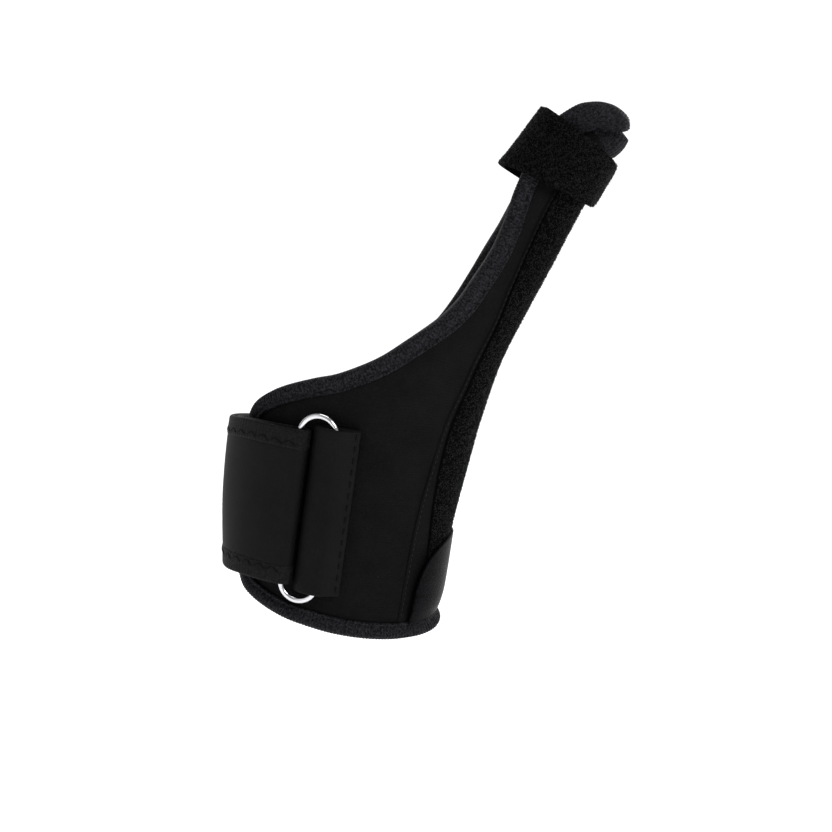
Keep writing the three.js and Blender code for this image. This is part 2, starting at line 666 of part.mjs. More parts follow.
function thumbStrap() {
  const lifts = {
    strip: stripFoot + loopStripWall + gap,
    binding: wall / 2 + bindingWall + gap,
    thumb: 0.3 * wall,
  };
  const steps = thumbStrapRows.length - 1;
  const foot = cuffHeight + thumbLength - thumbStrapDrop;
  const lean = Math.cos(THREE.MathUtils.degToRad(thumbLean));
  return slab(steps, 5, (along, across, side) => {
    const at = Math.round(along * steps);
    const row = thumbStrapRows[at];
    const fromEnd = Math.min(1, (steps - at) / 3);
    const corner = 1 - 0.3 * (1 - fromEnd) ** 2;
    const taper = thumbStrapTaper * Math.max(0, along - 0.5) * 2;
    const width = (thumbStrapWidth - taper) * corner * lean;
    const height = foot + (thumbStrapWidth * lean) / 2 + width * (across - 0.5);
    return shellPoint(height, row.turn, lifts[row.on] + side * thumbStrapWall);
  });
}

function piece(name, geometry, color, roughness, metalness) {
  const mesh = new THREE.Mesh(geometry, new THREE.MeshStandardMaterial({ color, roughness, metalness }));
  mesh.name = name;
  return mesh;
}

const clothBlack = 0x141416;
const tapeBlack = 0x1d1d22;
const pileBlack = 0x101011;
const strapBlack = 0x17171a;
const bright = 0xd8d9dc;

const splint = new THREE.Group();
splint.add(piece('main_panel', mainPanel(), clothBlack, 0.85, 0));
splint.add(piece('edge_binding', edgeBinding(), tapeBlack, 0.9, 0));
splint.add(piece('stay_sleeve', staySleeve(), clothBlack, 0.85, 0));
splint.add(piece('loop_strip', loopStrip(), pileBlack, 0.95, 0));
splint.add(piece('foot_patch', footPatch(), tapeBlack, 0.85, 0));
splint.add(piece('strap_ring', strapRing(), bright, 0.15, 1));
splint.add(piece('ring_tab', ringTab(), strapBlack, 0.8, 0));
splint.add(piece('wrist_strap', wristStrap(), strapBlack, 0.8, 0));
splint.add(piece('strap_hem_lower', lowerHem(), strapBlack, 0.85, 0));
splint.add(piece('strap_hem_upper', upperHem(), strapBlack, 0.85, 0));
splint.add(piece('thumb_strap', thumbStrap(), pileBlack, 0.95, 0));

export default splint;
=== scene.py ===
import math

import bpy
import numpy as np
from mathutils import Matrix


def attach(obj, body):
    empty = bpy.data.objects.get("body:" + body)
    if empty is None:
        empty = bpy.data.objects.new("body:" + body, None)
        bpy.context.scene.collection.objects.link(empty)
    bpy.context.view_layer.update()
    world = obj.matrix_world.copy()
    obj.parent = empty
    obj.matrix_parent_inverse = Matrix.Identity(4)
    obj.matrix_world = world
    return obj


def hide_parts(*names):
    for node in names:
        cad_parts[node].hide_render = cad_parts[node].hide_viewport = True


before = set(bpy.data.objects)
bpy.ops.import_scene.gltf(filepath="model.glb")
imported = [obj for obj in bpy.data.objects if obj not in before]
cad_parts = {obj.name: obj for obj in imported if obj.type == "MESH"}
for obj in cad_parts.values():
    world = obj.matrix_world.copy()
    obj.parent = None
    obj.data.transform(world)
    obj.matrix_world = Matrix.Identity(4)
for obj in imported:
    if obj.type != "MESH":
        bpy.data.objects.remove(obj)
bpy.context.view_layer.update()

# Lengths are in millimetres up to makeMesh, which turns them into metres.
mm = 0.001


# camera and studio

cameraSetup = {
    "aim": (18.1, -8.0, 56.5),
    "distance": 520.0,
    "elevation": 6.5,  # degrees above the floor
    "roll": 7.0,  # the splint leans this much to the right in the picture
    "lens": 75.0,
}


def unit(v):
    v = np.asarray(v, float)
    return v / np.maximum(np.linalg.norm(v, axis=-1, keepdims=True), 1e-12)


def stand(thing, right, up, back, place):
    # puts a camera or a lamp, which look along minus back, at a place
    rows = [[right[i], up[i], back[i], place[i] * mm] for i in range(3)]
    thing.matrix_world = Matrix(rows + [[0, 0, 0, 1]])
    bpy.context.collection.objects.link(thing)


def addCamera(setup):
    lift, roll = math.radians(setup["elevation"]), math.radians(setup["roll"])
    side = np.array([1.0, 0.0, 0.0])
    up = np.array([0.0, math.sin(lift), math.cos(lift)])
    ahead = np.array([0.0, math.cos(lift), -math.sin(lift)])
    camRight = math.cos(roll) * side + math.sin(roll) * up
    camUp = -math.sin(roll) * side + math.cos(roll) * up
    place = np.array(setup["aim"]) - setup["distance"] * ahead
    data = bpy.data.cameras.new("camera")
    data.lens = setup["lens"]
    data.sensor_width = 36.0
    data.clip_start = 0.01
    cam = bpy.data.objects.new("camera", data)
    stand(cam, camRight, camUp, -ahead, place)
    bpy.context.scene.camera = cam


studio = {
    "floorHeight": -46.0,
    "floorFront": -2600,
    "floorBack": 1300,
    "sweepBend": 500,
    "sweepTop": 3200,
    "halfWidth": 3200,
    "floorColor": (0.8, 0.8, 0.81),
    "glow": 0.56,  # evens the sweep out to near white
    "sky": 0.37,
    # name, place, size, watts
    "lamps": [
        ("keyLamp", (460, -560, 560), 420, 3.2),
        ("fillLamp", (-520, -520, 260), 520, 0.4),
        ("backLamp", (420, 420, 420), 360, 1.3),
        ("topLamp", (0, -60, 820), 480, 1.3),
    ],
}


def addFloor(setup):
    level, back, bend = setup["floorHeight"], setup["floorBack"], setup["sweepBend"]
    profile = [(setup["floorFront"], level), (back, level)]
    for k in range(1, 13):
        a = math.radians(90 * k / 12)
        profile.append((back + bend * math.sin(a), level + bend - bend * math.cos(a)))
    profile.append((back + bend, setup["sweepTop"]))
    verts = [(x, y, z) for y, z in profile for x in (-setup["halfWidth"], setup["halfWidth"])]
    faces = [(2 * i, 2 * i + 1, 2 * i + 3, 2 * i + 2) for i in range(len(profile) - 1)]
    floor = makeMesh("floor", np.array(verts, float), faces)
    paper, _, shader = newMaterial("paperSweep", setup["floorColor"], 0.9)
    shader.inputs["Emission Color"].default_value = (1, 1, 1, 1)
    shader.inputs["Emission Strength"].default_value = setup["glow"]
    floor.data.materials.append(paper)


def addSky(setup):
    world = bpy.data.worlds.new("studioSky")
    world.use_nodes = True
    tree = world.node_tree
    light = tree.nodes["Background"]
    light.inputs["Color"].default_value = (1, 1, 1, 1)
    light.inputs["Strength"].default_value = setup["sky"]
    # what shows behind the sweep is plain white
    paper = addNode(tree, "ShaderNodeBackground", Color=(1, 1, 1, 1), Strength=1.0)
    seen, blend = addNode(tree, "ShaderNodeLightPath"), addNode(tree, "ShaderNodeMixShader")
    tree.links.new(seen.outputs["Is Camera Ray"], blend.inputs["Fac"])
    tree.links.new(light.outputs["Background"], blend.inputs[1])
    tree.links.new(paper.outputs["Background"], blend.inputs[2])
    tree.links.new(blend.outputs["Shader"], tree.nodes["World Output"].inputs["Surface"])
    bpy.context.scene.world = world


def addLamps(setup, target):
    for name, place, size, watts in setup["lamps"]:
        data = bpy.data.lights.new(name, "AREA")
        data.shape = "DISK"
        data.size = size * mm
        data.energy = watts
        back = unit(np.array(place, float) - target)
        side = unit(np.cross([0, 0, 1.0], back))
        stand(bpy.data.objects.new(name, data), side, np.cross(back, side), back, place)


def addStudio(setup, target):
    addFloor(setup)
    addSky(setup)
    addLamps(setup, target)
    bpy.context.scene.view_settings.view_transform = "Standard"
    bpy.context.scene.view_settings.look = "None"


# mesh helpers


def makeMesh(name, verts, faces, uv=None):
    verts = np.asarray(verts, np.float64).reshape(-1, 3) * mm
    faces = np.asarray(faces, np.int32)
    corners = faces.shape[1]
    mesh = bpy.data.meshes.new(name)
    mesh.vertices.add(len(verts))
    mesh.vertices.foreach_set("co", verts.astype(np.float32).ravel())
    mesh.loops.add(faces.size)
    mesh.loops.foreach_set("vertex_index", faces.ravel())
    mesh.polygons.add(len(faces))
    mesh.polygons.foreach_set("loop_start", np.arange(len(faces), dtype=np.int32) * corners)
    mesh.polygons.foreach_set("use_smooth", np.full(len(faces), True))
    if uv is not None:
        layer = mesh.uv_layers.new(name="pattern")
        layer.data.foreach_set("uv", np.asarray(uv, np.float32)[faces.ravel()].ravel())
    mesh.update(calc_edges=True)
    mesh.validate()
    piece = bpy.data.objects.new(name, mesh)
    bpy.context.collection.objects.link(piece)
    return piece


def gridFaces(rows, cols, wrapRows=False, wrapCols=False):
    i = np.arange(rows if wrapRows else rows - 1)[:, None]
    j = np.arange(cols if wrapCols else cols - 1)[None, :]
    i2, j2 = (i + 1) % rows, (j + 1) % cols
    quads = [i * cols + j, i2 * cols + j, i2 * cols + j2, i * cols + j2]
    return np.stack([np.broadcast_to(q, (i.size, j.size)).ravel() for q in quads], -1)


def smoothNoise(points, scale, seed):
    # gentle waves in every direction, from a few sums of sines
    rng = np.random.default_rng(seed)
    total = np.zeros(points.shape[:-1])
    for _ in range(7):
        direction = unit(rng.normal(size=3))
        wave = scale * rng.uniform(0.7, 1.5)
        total += np.sin(points @ direction * (2 * math.pi / wave) + rng.uniform(0, 2 * math.pi))
    return total / 4


# the splint's form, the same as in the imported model

form = {
    "wristWidth": 54.8,
    "wristDepth": 40.0,
    "thumbWidth": 21.0,
    "thumbDepth": 20.0,
    "cuffHeight": 52.0,
    "thumbLength": 102.0,
    "thumbReach": 40.0,
    "thumbLean": 24.0,
    "wall": 3.0,
}

# cuff, thumb, out, lean, thumbness, bulk, palmward
stations = np.array([
    (-0.3, 0, 0.025, 0, 0, 1.02, 0),
    (0, 0, 0.032, 0, 0, 1.045, 0),
    (0.5, 0, 0.062, 0, 0, 1.075, 0.015),
    (1, 0, 0.127, 0.05, 0.02, 1.165, 0.035),
    (1, 0.1, 0.165, 0.25, 0.1, 1.21, 0.08),
    (1, 0.245, 0.243, 0.56, 0.35, 1.28, 0.14),
    (1, 0.392, 0.382, 0.8, 0.62, 1.38, 0.17),
    (1, 0.549, 0.552, 0.94, 0.85, 1.5, 0.18),
    (1, 0.676, 0.688, 0.98, 0.95, 1.5, 0.18),
    (1, 0.87, 0.905, 1, 1, 1.5, 0.18),
    (1, 1.05, 1.105, 1, 1.03, 1.5, 0.18),
])


def heightOf(rows):
    rows = np.asarray(rows)
    return rows[..., 0] * form["cuffHeight"] + rows[..., 1] * form["thumbLength"]


def column(heights, values, at):
    n = len(heights)
    before, after = np.maximum(np.arange(n) - 1, 0), np.minimum(np.arange(n) + 1, n - 1)
    slope = (values[after] - values[before]) / (heights[after] - heights[before])
    row = np.clip(np.searchsorted(heights, at, side="left") - 1, 0, n - 2)
    span = heights[row + 1] - heights[row]
    t = np.clip((at - heights[row]) / span, 0, 1)
    rise = t * t * (3 - 2 * t)
    bend = slope[row] * span * t * (1 - t) ** 2 - slope[row + 1] * span * t * t * (1 - t)
    return values[row] + (values[row + 1] - values[row]) * rise + bend


def sectionAt(height):
    rows = heightOf(stations)
    out, lean, thumbness, bulk, palmward = (column(rows, stations[:, k], height) for k in range(2, 7))
    lean = np.radians(form["thumbLean"] * lean)
    halfWidth = (form["wristWidth"] * bulk * (1 - thumbness) + form["thumbWidth"] * thumbness) / 2
    halfDepth = (form["wristDepth"] * bulk * (1 - thumbness) + form["thumbDepth"] * thumbness) / 2
    across = np.stack([np.cos(lean), 0 * lean, -np.sin(lean)], -1)
    centre = np.stack([
        form["wristWidth"] / 2 + form["thumbReach"] * out,
        -form["wristDepth"] * palmward,
        height + 0 * lean,
    ], -1)
    return centre - across * halfWidth[..., None], across, halfWidth, halfDepth


def middlePoint(height, turn):
    height, turn = np.broadcast_arrays(np.asarray(height, float), np.asarray(turn, float))
    centre, across, halfWidth, halfDepth = sectionAt(height)
    angle = np.radians(turn)
    point = centre + across * (halfWidth * np.cos(angle))[..., None]
    point[..., 1] -= halfDepth * np.sin(angle)
    return point


def shellSteps(height, turn):
    # how far the middle of the wall moves for a millimetre of height and for a degree of turn
    up = middlePoint(height + 0.5, turn) - middlePoint(height - 0.5, turn)
    around = middlePoint(height, turn + 0.5) - middlePoint(height, turn - 0.5)
    return up, around


def shellNormal(height, turn):
    return unit(np.cross(*shellSteps(height, turn)))


def shellPoint(height, turn, lift):
    height, turn, lift = np.broadcast_arrays(*(np.asarray(v, float) for v in (height, turn, lift)))
    return middlePoint(height, turn) + shellNormal(height, turn) * lift[..., None]


# way round the section, in millimetres from the thumb side, kept as a table
heightStep, turnStep, aroundStep = 1.0, 1.0, 0.5
tableHeights = np.arange(-20.0, 163.0, heightStep)
tableTurns = np.arange(-400.0, 401.0, turnStep)
tableWidths, tableDepths = (size[:, None] for size in sectionAt(tableHeights)[2:])
tableAngles = np.radians(tableTurns)[None, :]
tableSpeed = np.hypot(tableWidths * np.sin(tableAngles), tableDepths * np.cos(tableAngles))
tableArcs = np.concatenate([
    np.zeros((len(tableHeights), 1)),
    np.cumsum((tableSpeed[:, 1:] + tableSpeed[:, :-1]) / 2 * math.radians(turnStep), 1),
], 1)
tableArcs -= tableArcs[:, len(tableTurns) // 2][:, None]
aroundGrid = np.arange(-110.0, 160.0, aroundStep)
turnGrid = np.array([np.interp(aroundGrid, arcs, tableTurns) for arcs in tableArcs])


def turnAt(height, around):
    height, around = np.broadcast_arrays(np.asarray(height, float), np.asarray(around, float))
    i = np.clip((height - tableHeights[0]) / heightStep, 0, len(tableHeights) - 1.001)
    j = np.clip((around - aroundGrid[0]) / aroundStep, 0, len(aroundGrid) - 1.001)
    i0, j0 = i.astype(int), j.astype(int)
    fi, fj = i - i0, j - j0
    low = turnGrid[i0, j0] * (1 - fj) + turnGrid[i0, j0 + 1] * fj
    high = turnGrid[i0 + 1, j0] * (1 - fj) + turnGrid[i0 + 1, j0 + 1] * fj
    return low * (1 - fi) + high * fi


def onSplint(height, around, lift):
    return shellPoint(height, turnAt(height, around), lift)


# the cut edge

palmSide = [
    (0.1, 0, 167), (0.22, 0, 169), (0.5, 0, 169.5), (0.8, 0, 169.5), (0.93, 0, 167), (1, 0.014, 159),
    (1, 0.05, 143), (1, 0.09, 120), (1, 0.115, 107), (1, 0.165, 93), (1, 0.225, 84), (1, 0.29, 76.5),
    (1, 0.34, 74), (1, 0.39, 75), (1, 0.49, 82), (1, 0.57, 94.5), (1, 0.655, 112), (1, 0.73, 123),
    (1, 0.8, 129.5), (1, 0.86, 131),
]
backSide = [
    (0.1, 0, -167), (0.22, 0, -169), (0.5, 0, -169.5), (0.76, 0, -169), (0.88, 0, -165), (0.95, 0, -155),
    (0.99, 0, -138), (1, 0.02, -118), (1, 0.06, -101), (1, 0.12, -88), (1, 0.2, -78), (1, 0.3, -73),
    (1, 0.42, -79), (1, 0.54, -92), (1, 0.67, -108), (1, 0.8, -115),
]
rimSide = [
    (0.1, 0, 167), (0.03, 0, 161), (-0.04, 0, 150), (-0.125, 0, 122), (-0.16, 0, 103), (-0.185, 0, 85),
    (-0.197, 0, 62), (-0.19, 0, 38), (-0.16, 0, 18), (-0.13, 0, 0), (-0.125, 0, -25), (-0.14, 0, -60),
    (-0.15, 0, -90), (-0.13, 0, -120), (-0.05, 0, -150), (0.03, 0, -161), (0.1, 0, -167),
]
# cuff, thumb and turn of the cut edge, thumb and turn of the tape's inner edge, and how far it is raised
tipSide = [
    (1, 0.86, 131, 0.84, 108, 0), (1, 0.905, 121, 0.845, 103, 0), (1, 0.943, 108, 0.85, 98, 0),
    (1, 0.968, 88, 0.855, 93, 0), (1, 0.98, 68, 0.862, 88, 0.2), (1, 0.983, 52, 0.872, 84, 0.6),
    (1, 0.981, 38, 0.882, 80, 1.1), (1, 0.974, 27, 0.89, 77, 1.4), (1, 0.963, 22, 0.895, 75, 1.5),
    (1, 0.95, 25, 0.896, 74, 1.5), (1, 0.936, 38, 0.896, 73, 1.2), (1, 0.92, 55, 0.896, 72, 0.6),
    (1, 0.903, 69, 0.893, 71, -0.5), (1, 0.911, 57, 0.878, 66, -1.6), (1, 0.927, 39, 0.862, 58, -1.8),
    (1, 0.941, 23, 0.852, 44, -1.5), (1, 0.946, 9, 0.846, 28, -0.7), (1, 0.941, -10, 0.846, 6, 0),
    (1, 0.927, -33, 0.848, -18, 0), (1, 0.912, -55, 0.846, -42, 0), (1, 0.89, -79, 0.838, -62, 0),
    (1, 0.855, -100, 0.822, -80, 0), (1, 0.8, -115, 0.795, -88, 0),
]


def throughRows(rows, t):
    # a smooth curve through the rows, where t runs from 0 to 1 evenly from row to row
    rows = np.asarray(rows, float)
    rows = np.concatenate([[2 * rows[0] - rows[1]], rows, [2 * rows[-1] - rows[-2]]])
    place = np.clip(np.asarray(t, float), 0, 1) * (len(rows) - 3)
    k = np.minimum(place.astype(int), len(rows) - 4)
    f = (place - k)[:, None]
    a, b, c, d = rows[k], rows[k + 1], rows[k + 2], rows[k + 3]
    return b + 0.5 * f * (c - a + f * (2 * a - 5 * b + 4 * c - d + f * (3 * (b - c) + d - a)))


def edgeSide(rows, count):
    t = np.linspace(0, 1, count + 1)
    table = np.asarray(rows, float)
    flat = np.stack([heightOf(table), table[:, 2]], -1)
    line = throughRows(flat, t)
    if table.shape[1] == 3:
        return line, np.full_like(line, np.nan), np.zeros((count + 1, 1))
    inner = throughRows(np.stack([heightOf(table[:, [0, 3]]), table[:, 4], table[:, 5]], -1), t)
    return line, inner[:, :2], inner[:, 2:]


def walk(line, direction, distance, strides=6):
    # moves places on the wall by a distance along a direction
    height, turn = line[:, 0].copy(), line[:, 1].copy()
    for _ in range(strides):
        up, around = shellSteps(height, turn)
        uu, ur, rr = (up * up).sum(-1), (up * around).sum(-1), (around * around).sum(-1)
        du, dr = (up * direction).sum(-1), (around * direction).sum(-1)
        scale = distance / strides / (uu * rr - ur * ur)
        height += (du * rr - dr * ur) * scale
        turn += (dr * uu - du * ur) * scale
    return np.stack([height, turn], -1)


def closedSmooth(values, reach):
    # a running mean round a closed run
    kernel = np.hanning(2 * reach + 3)[1:-1]
    kernel /= kernel.sum()
    padded = np.concatenate([values[-reach:], values, values[:reach]])
    return np.stack([np.convolve(padded[:, k], kernel, "valid") for k in range(values.shape[1])], -1)


def joinedSides(palmCount, tipCount):
    # the edge once round from the palm side's foot, its inner line, and how far that is raised
    parts = []
    for rows, count, flip in (
        (palmSide, palmCount, False), (tipSide, tipCount, False),
        (backSide, palmCount, True), (rimSide, tipCount, True),
    ):
        parts.append([v[::-1][:-1] if flip else v[:-1] for v in edgeSide(rows, count)])
    return (np.concatenate([part[k] for part in parts]) for k in range(3))


def wholeEdge(spacing):
    line, inner, rise = joinedSides(1600, 1600)
    points = middlePoint(line[:, 0], line[:, 1])
    hop = np.linalg.norm(np.roll(points, -1, 0) - points, axis=1)
    run = np.concatenate([[0], np.cumsum(hop)])
    count = int(round(run[-1] / spacing))
    at = np.linspace(0, run[-1], count, endpoint=False)

    def again(values):
        return np.stack([
            np.interp(at, run, np.append(values[:, k], values[0, k])) for k in range(values.shape[1])
        ], -1)

    return again(line), again(inner), again(rise)[:, 0], run[-1] / count


def inwardFrom(line, reach):
    # the direction into the panel, square to its edge
    points = middlePoint(line[:, 0], line[:, 1])
    along = closedSmooth(unit(np.roll(points, -1, 0) - np.roll(points, 1, 0)), reach)
    return unit(-np.cross(shellNormal(line[:, 0], line[:, 1]), along))


def edgeFrame(spacing, tapeWidth):
    # the edge, the tape's inner line, how far it is raised and the step between points
    line, inner, rise, step = wholeEdge(spacing)
    walked = walk(line, inwardFrom(line, max(1, int(1.2 / step))), tapeWidth)
    tip = ~np.isnan(inner[:, 0])
    inner[~tip] = walked[~tip]
    inner = closedSmooth(inner, max(1, int(1.6 / step)))
    return line, inner, rise, step


# materials


def newMaterial(name, base, roughness):
    mat = bpy.data.materials.new(name)
    mat.use_nodes = True
    tree = mat.node_tree
    shader = tree.nodes["Principled BSDF"]
    shader.inputs["Base Color"].default_value = (*base, 1)
    shader.inputs["Roughness"].default_value = roughness
    return mat, tree, shader


def addNode(tree, kind, **values):
    node = tree.nodes.new(kind)
    for name, value in values.items():
        if name in node.inputs:
            node.inputs[name].default_value = value
        else:
            setattr(node, name, value)
    return node


def threadsBothWays(tree, weave, grain):
    # threads over the cloth's own pattern, in millimetres, with the grain on top
    link = tree.links.new
    uv = addNode(tree, "ShaderNodeUVMap", uv_map="pattern")
    cross = addNode(tree, "ShaderNodeMath", operation="MULTIPLY")
    for k, pitch in enumerate(weave):
        wave = addNode(tree, "ShaderNodeTexWave", bands_direction="XY"[k], wave_profile="SIN")
        wave.inputs["Scale"].default_value = math.pi / pitch / 10
        wave.inputs["Distortion"].default_value = 0.4
        wave.inputs["Detail"].default_value = 1.0
        wave.inputs["Detail Scale"].default_value = 2.0
        link(uv.outputs["UV"], wave.inputs["Vector"])
        link(wave.outputs["Fac"], cross.inputs[k])
    total = addNode(tree, "ShaderNodeMath", operation="ADD")
    link(cross.outputs["Value"], total.inputs[0])
    link(grain, total.inputs[1])
    return total.outputs["Value"]


def clothMaterial(look):
    # a woven, knitted or brushed cloth: two colours mixed by noise, and bumps at two sizes
    mat, tree, shader = newMaterial(look["name"], look["dark"], look["roughness"])
    link = tree.links.new
    coords = addNode(tree, "ShaderNodeTexCoord")
    scaled = addNode(tree, "ShaderNodeMapping")
    scaled.inputs["Scale"].default_value = (1000, 1000, 1000)  # millimetres
    link(coords.outputs["Object"], scaled.inputs["Vector"])
    patches = addNode(tree, "ShaderNodeTexNoise", Scale=1 / look["blotch"], Detail=3.0, Roughness=0.6)
    link(scaled.outputs["Vector"], patches.inputs["Vector"])
    grain = addNode(tree, "ShaderNodeTexNoise", Scale=1 / look["grain"], Detail=2.0, Roughness=0.6)
    link(scaled.outputs["Vector"], grain.inputs["Vector"])
    spots = addNode(tree, "ShaderNodeMath", operation="MULTIPLY")
    link(grain.outputs["Fac"], spots.inputs[0])
    spots.inputs[1].default_value = 0.55
    blend = addNode(tree, "ShaderNodeMath", operation="MULTIPLY_ADD")
    link(patches.outputs["Fac"], blend.inputs[0])
    blend.inputs[1].default_value = 0.45
    link(spots.outputs["Value"], blend.inputs[2])
    ramp = addNode(tree, "ShaderNodeValToRGB")
    spread = look.get("spread", 0.17)
    for stop, side, color in zip(ramp.color_ramp.elements, (-1, 1), (look["dark"], look["light"])):
        stop.position = 0.51 + side * spread
        stop.color = (*color, 1)
    link(blend.outputs["Value"], ramp.inputs["Fac"])
    link(ramp.outputs["Color"], shader.inputs["Base Color"])
    height = grain.outputs["Fac"]
    if look.get("weave"):
        height = threadsBothWays(tree, look["weave"], height)
    bump = addNode(tree, "ShaderNodeBump", Strength=look["bump"], Distance=look["depth"] * mm)
    link(height, bump.inputs["Height"])
    link(bump.outputs["Normal"], shader.inputs["Normal"])
    shader.inputs["Specular IOR Level"].default_value = look["specular"]
    return mat


panelLook = {
    "name": "knittedPanel", "roughness": 0.7,
    "dark": (0.001, 0.001, 0.0011), "light": (0.0047, 0.0047, 0.005),
    "blotch": 9.0, "grain": 0.6, "weave": (0.8, 0.62), "bump": 0.5, "depth": 0.12, "specular": 0.07,
}
bindingLook = {
    "name": "ribbedTape", "roughness": 0.55,
    "dark": (0.0006, 0.0006, 0.0009), "light": (0.021, 0.021, 0.0255),
    "blotch": 0.75, "grain": 0.5, "bump": 0.8, "depth": 0.2, "specular": 0.08, "spread": 0.075,
}
pileBaseLook = {
    "name": "pileGround", "roughness": 0.9,
    "dark": (0.0006, 0.0006, 0.0006), "light": (0.002, 0.002, 0.002),
    "blotch": 3.0, "grain": 0.4, "bump": 1.0, "depth": 0.4, "specular": 0.03,
}
pileLook = {
    "name": "pileYarn", "roughness": 0.5,
    "dark": (0.0008, 0.0008, 0.0008), "light": (0.0105, 0.0105, 0.0107),
    "blotch": 0.9, "grain": 0.35, "bump": 0.2, "depth": 0.05, "specular": 0.14,
}
patchLook = {
    "name": "brushedPatch", "roughness": 0.38,
    "dark": (0.0002, 0.0002, 0.0003), "light": (0.0038, 0.0038, 0.0052),
    "blotch": 0.9, "grain": 0.5, "bump": 0.9, "depth": 0.2, "specular": 0.03, "spread": 0.07,
}
strapLook = {
    "name": "strapCloth", "roughness": 0.6,
    "dark": (0.0013, 0.0013, 0.0013), "light": (0.0045, 0.0045, 0.0046),
    "blotch": 12.0, "grain": 0.3, "weave": (0.5, 0.5), "bump": 0.4, "depth": 0.08, "specular": 0.09,
}
hemLook = {
    "name": "strapHem", "roughness": 0.65,
    "dark": (0.0009, 0.0009, 0.0009), "light": (0.0088, 0.0088, 0.009),
    "blotch": 0.9, "grain": 0.5, "weave": (1.0, 0.5), "bump": 0.7, "depth": 0.15,
    "specular": 0.1, "spread": 0.12,
}
threadLook = {
    "name": "stitchThread", "roughness": 0.6,
    "dark": (0.0006, 0.0006, 0.0006), "light": (0.003, 0.003, 0.003),
    "blotch": 2.0, "grain": 0.2, "bump": 0.4, "depth": 0.05, "specular": 0.08,
}
seamLook = {
    "name": "seamThread", "roughness": 0.6,
    "dark": (0.004, 0.004, 0.004), "light": (0.022, 0.022, 0.023),
    "blotch": 2.0, "grain": 0.3, "bump": 0.4, "depth": 0.05, "specular": 0.15,
}


def metalMaterial():
    mat, tree, shader = newMaterial("brightWire", (0.72, 0.72, 0.74), 0.12)
    link = tree.links.new
    shader.inputs["Metallic"].default_value = 1.0
    coords = addNode(tree, "ShaderNodeTexCoord")
    scuffs = addNode(tree, "ShaderNodeTexNoise", Scale=900.0, Detail=4.0)
    link(coords.outputs["Object"], scuffs.inputs["Vector"])
    ramp = addNode(tree, "ShaderNodeMapRange")
    ramp.inputs["To Min"].default_value = 0.06
    ramp.inputs["To Max"].default_value = 0.2
    link(scuffs.outputs["Fac"], ramp.inputs["Value"])
    link(ramp.outputs["Result"], shader.inputs["Roughness"])
    return mat


def dress(piece, material, slotName, *nodes):
    piece.data.materials.append(material)
    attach(piece, "root")
    if nodes:
        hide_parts(*nodes)


# main panel

panelSetup = {
    "acrossSteps": 150,
    "upSteps": 150,
    "intoTape": 0.72,  # how far under the tape its edge runs, as a share of the tape's width
    "waves": 0.12,
}
tapeWidth = 5.3


def panelGrid(setup):
    # a grid of heights and turns between the edge's four sides
    n, m = setup["acrossSteps"], setup["upSteps"]
    line, inner, _ = joinedSides(m, n)
    share = setup["intoTape"]
    walked = walk(line, inwardFrom(line, 2), tapeWidth * share)
    tip = ~np.isnan(inner[:, 0])
    mixed = line + (inner - line) * share
    mixed[~tip] = walked[~tip]
    mixed = closedSmooth(mixed, 3)
    palm, tipLine = mixed[: m + 1], mixed[m : m + n + 1]
    back = mixed[m + n : 2 * m + n + 1][::-1]
    rim = np.concatenate([mixed[2 * m + n :], mixed[:1]])[::-1]
    u, v = np.linspace(0, 1, n + 1)[None, :, None], np.linspace(0, 1, m + 1)[:, None, None]
    sidesMix = palm[:, None] * (1 - u) + back[:, None] * u + rim[None] * (1 - v) + tipLine[None] * v
    corners = (palm[0] * (1 - u) + back[0] * u) * (1 - v) + (palm[-1] * (1 - u) + back[-1] * u) * v
    return sidesMix - corners


def makePanel(setup):
    grid = panelGrid(setup)
    height, turn = grid[..., 0], grid[..., 1]
    rows, cols = height.shape
    middle = middlePoint(height, turn)
    waves = smoothNoise(middle, 34, 3) * setup["waves"]
    half = form["wall"] / 2
    top = shellPoint(height, turn, half + waves)
    under = shellPoint(height, turn, -half + waves)
    verts = np.concatenate([top.reshape(-1, 3), under.reshape(-1, 3)])
    faces = gridFaces(rows, cols)
    count = rows * cols
    rim = np.concatenate([
        np.arange(cols), np.arange(1, rows) * cols + cols - 1,
        (rows - 1) * cols + np.arange(cols - 2, -1, -1), np.arange(rows - 2, 0, -1) * cols,
    ])
    nxt = np.roll(rim, -1)
    border = np.stack([rim, nxt, nxt + count, rim + count], -1)
    faces = np.concatenate([faces[:, ::-1], faces + count, border[:, ::-1]])
    centre, across, halfWidth, halfDepth = sectionAt(height)
    uv = np.stack([height, np.radians(turn) * (halfWidth + halfDepth) / 2], -1).reshape(-1, 2)
    return makeMesh("mainPanel", verts, faces, uv=np.concatenate([uv, uv]))


# the ribbed tape round the edge

tapeSetup = {
    "ribPitch": 0.95,
    "ribHeight": 0.42,
    "perRib": 5,
    "tipFrom": 100.0,  # height where the tape of the tip begins
    # how far it bulges at the foot and at the tip, round which turn, and how many degrees to each side
    "bulge": (2.2, 2.4),
    "bulgeTurn": (0, -6),
    "bulgeReach": (36, 24),
    "wallLift": 1.62,  # just off the panel's faces
    # inward in shares of the width, lift in millimetres, and how strongly the ribs show
    "profile": [
        (1.0, 1.75, 0.2), (1.0, 2.2, 0.8), (0.94, 2.55, 1), (0.87, 2.5, 1), (0.82, 2.15, 0.3),
        (0.77, 2.2, 0.3), (0.7, 2.6, 1), (0.52, 2.9, 1), (0.32, 2.9, 1), (0.14, 2.45, 1), (0.03, 1.4, 1),
    ],
}


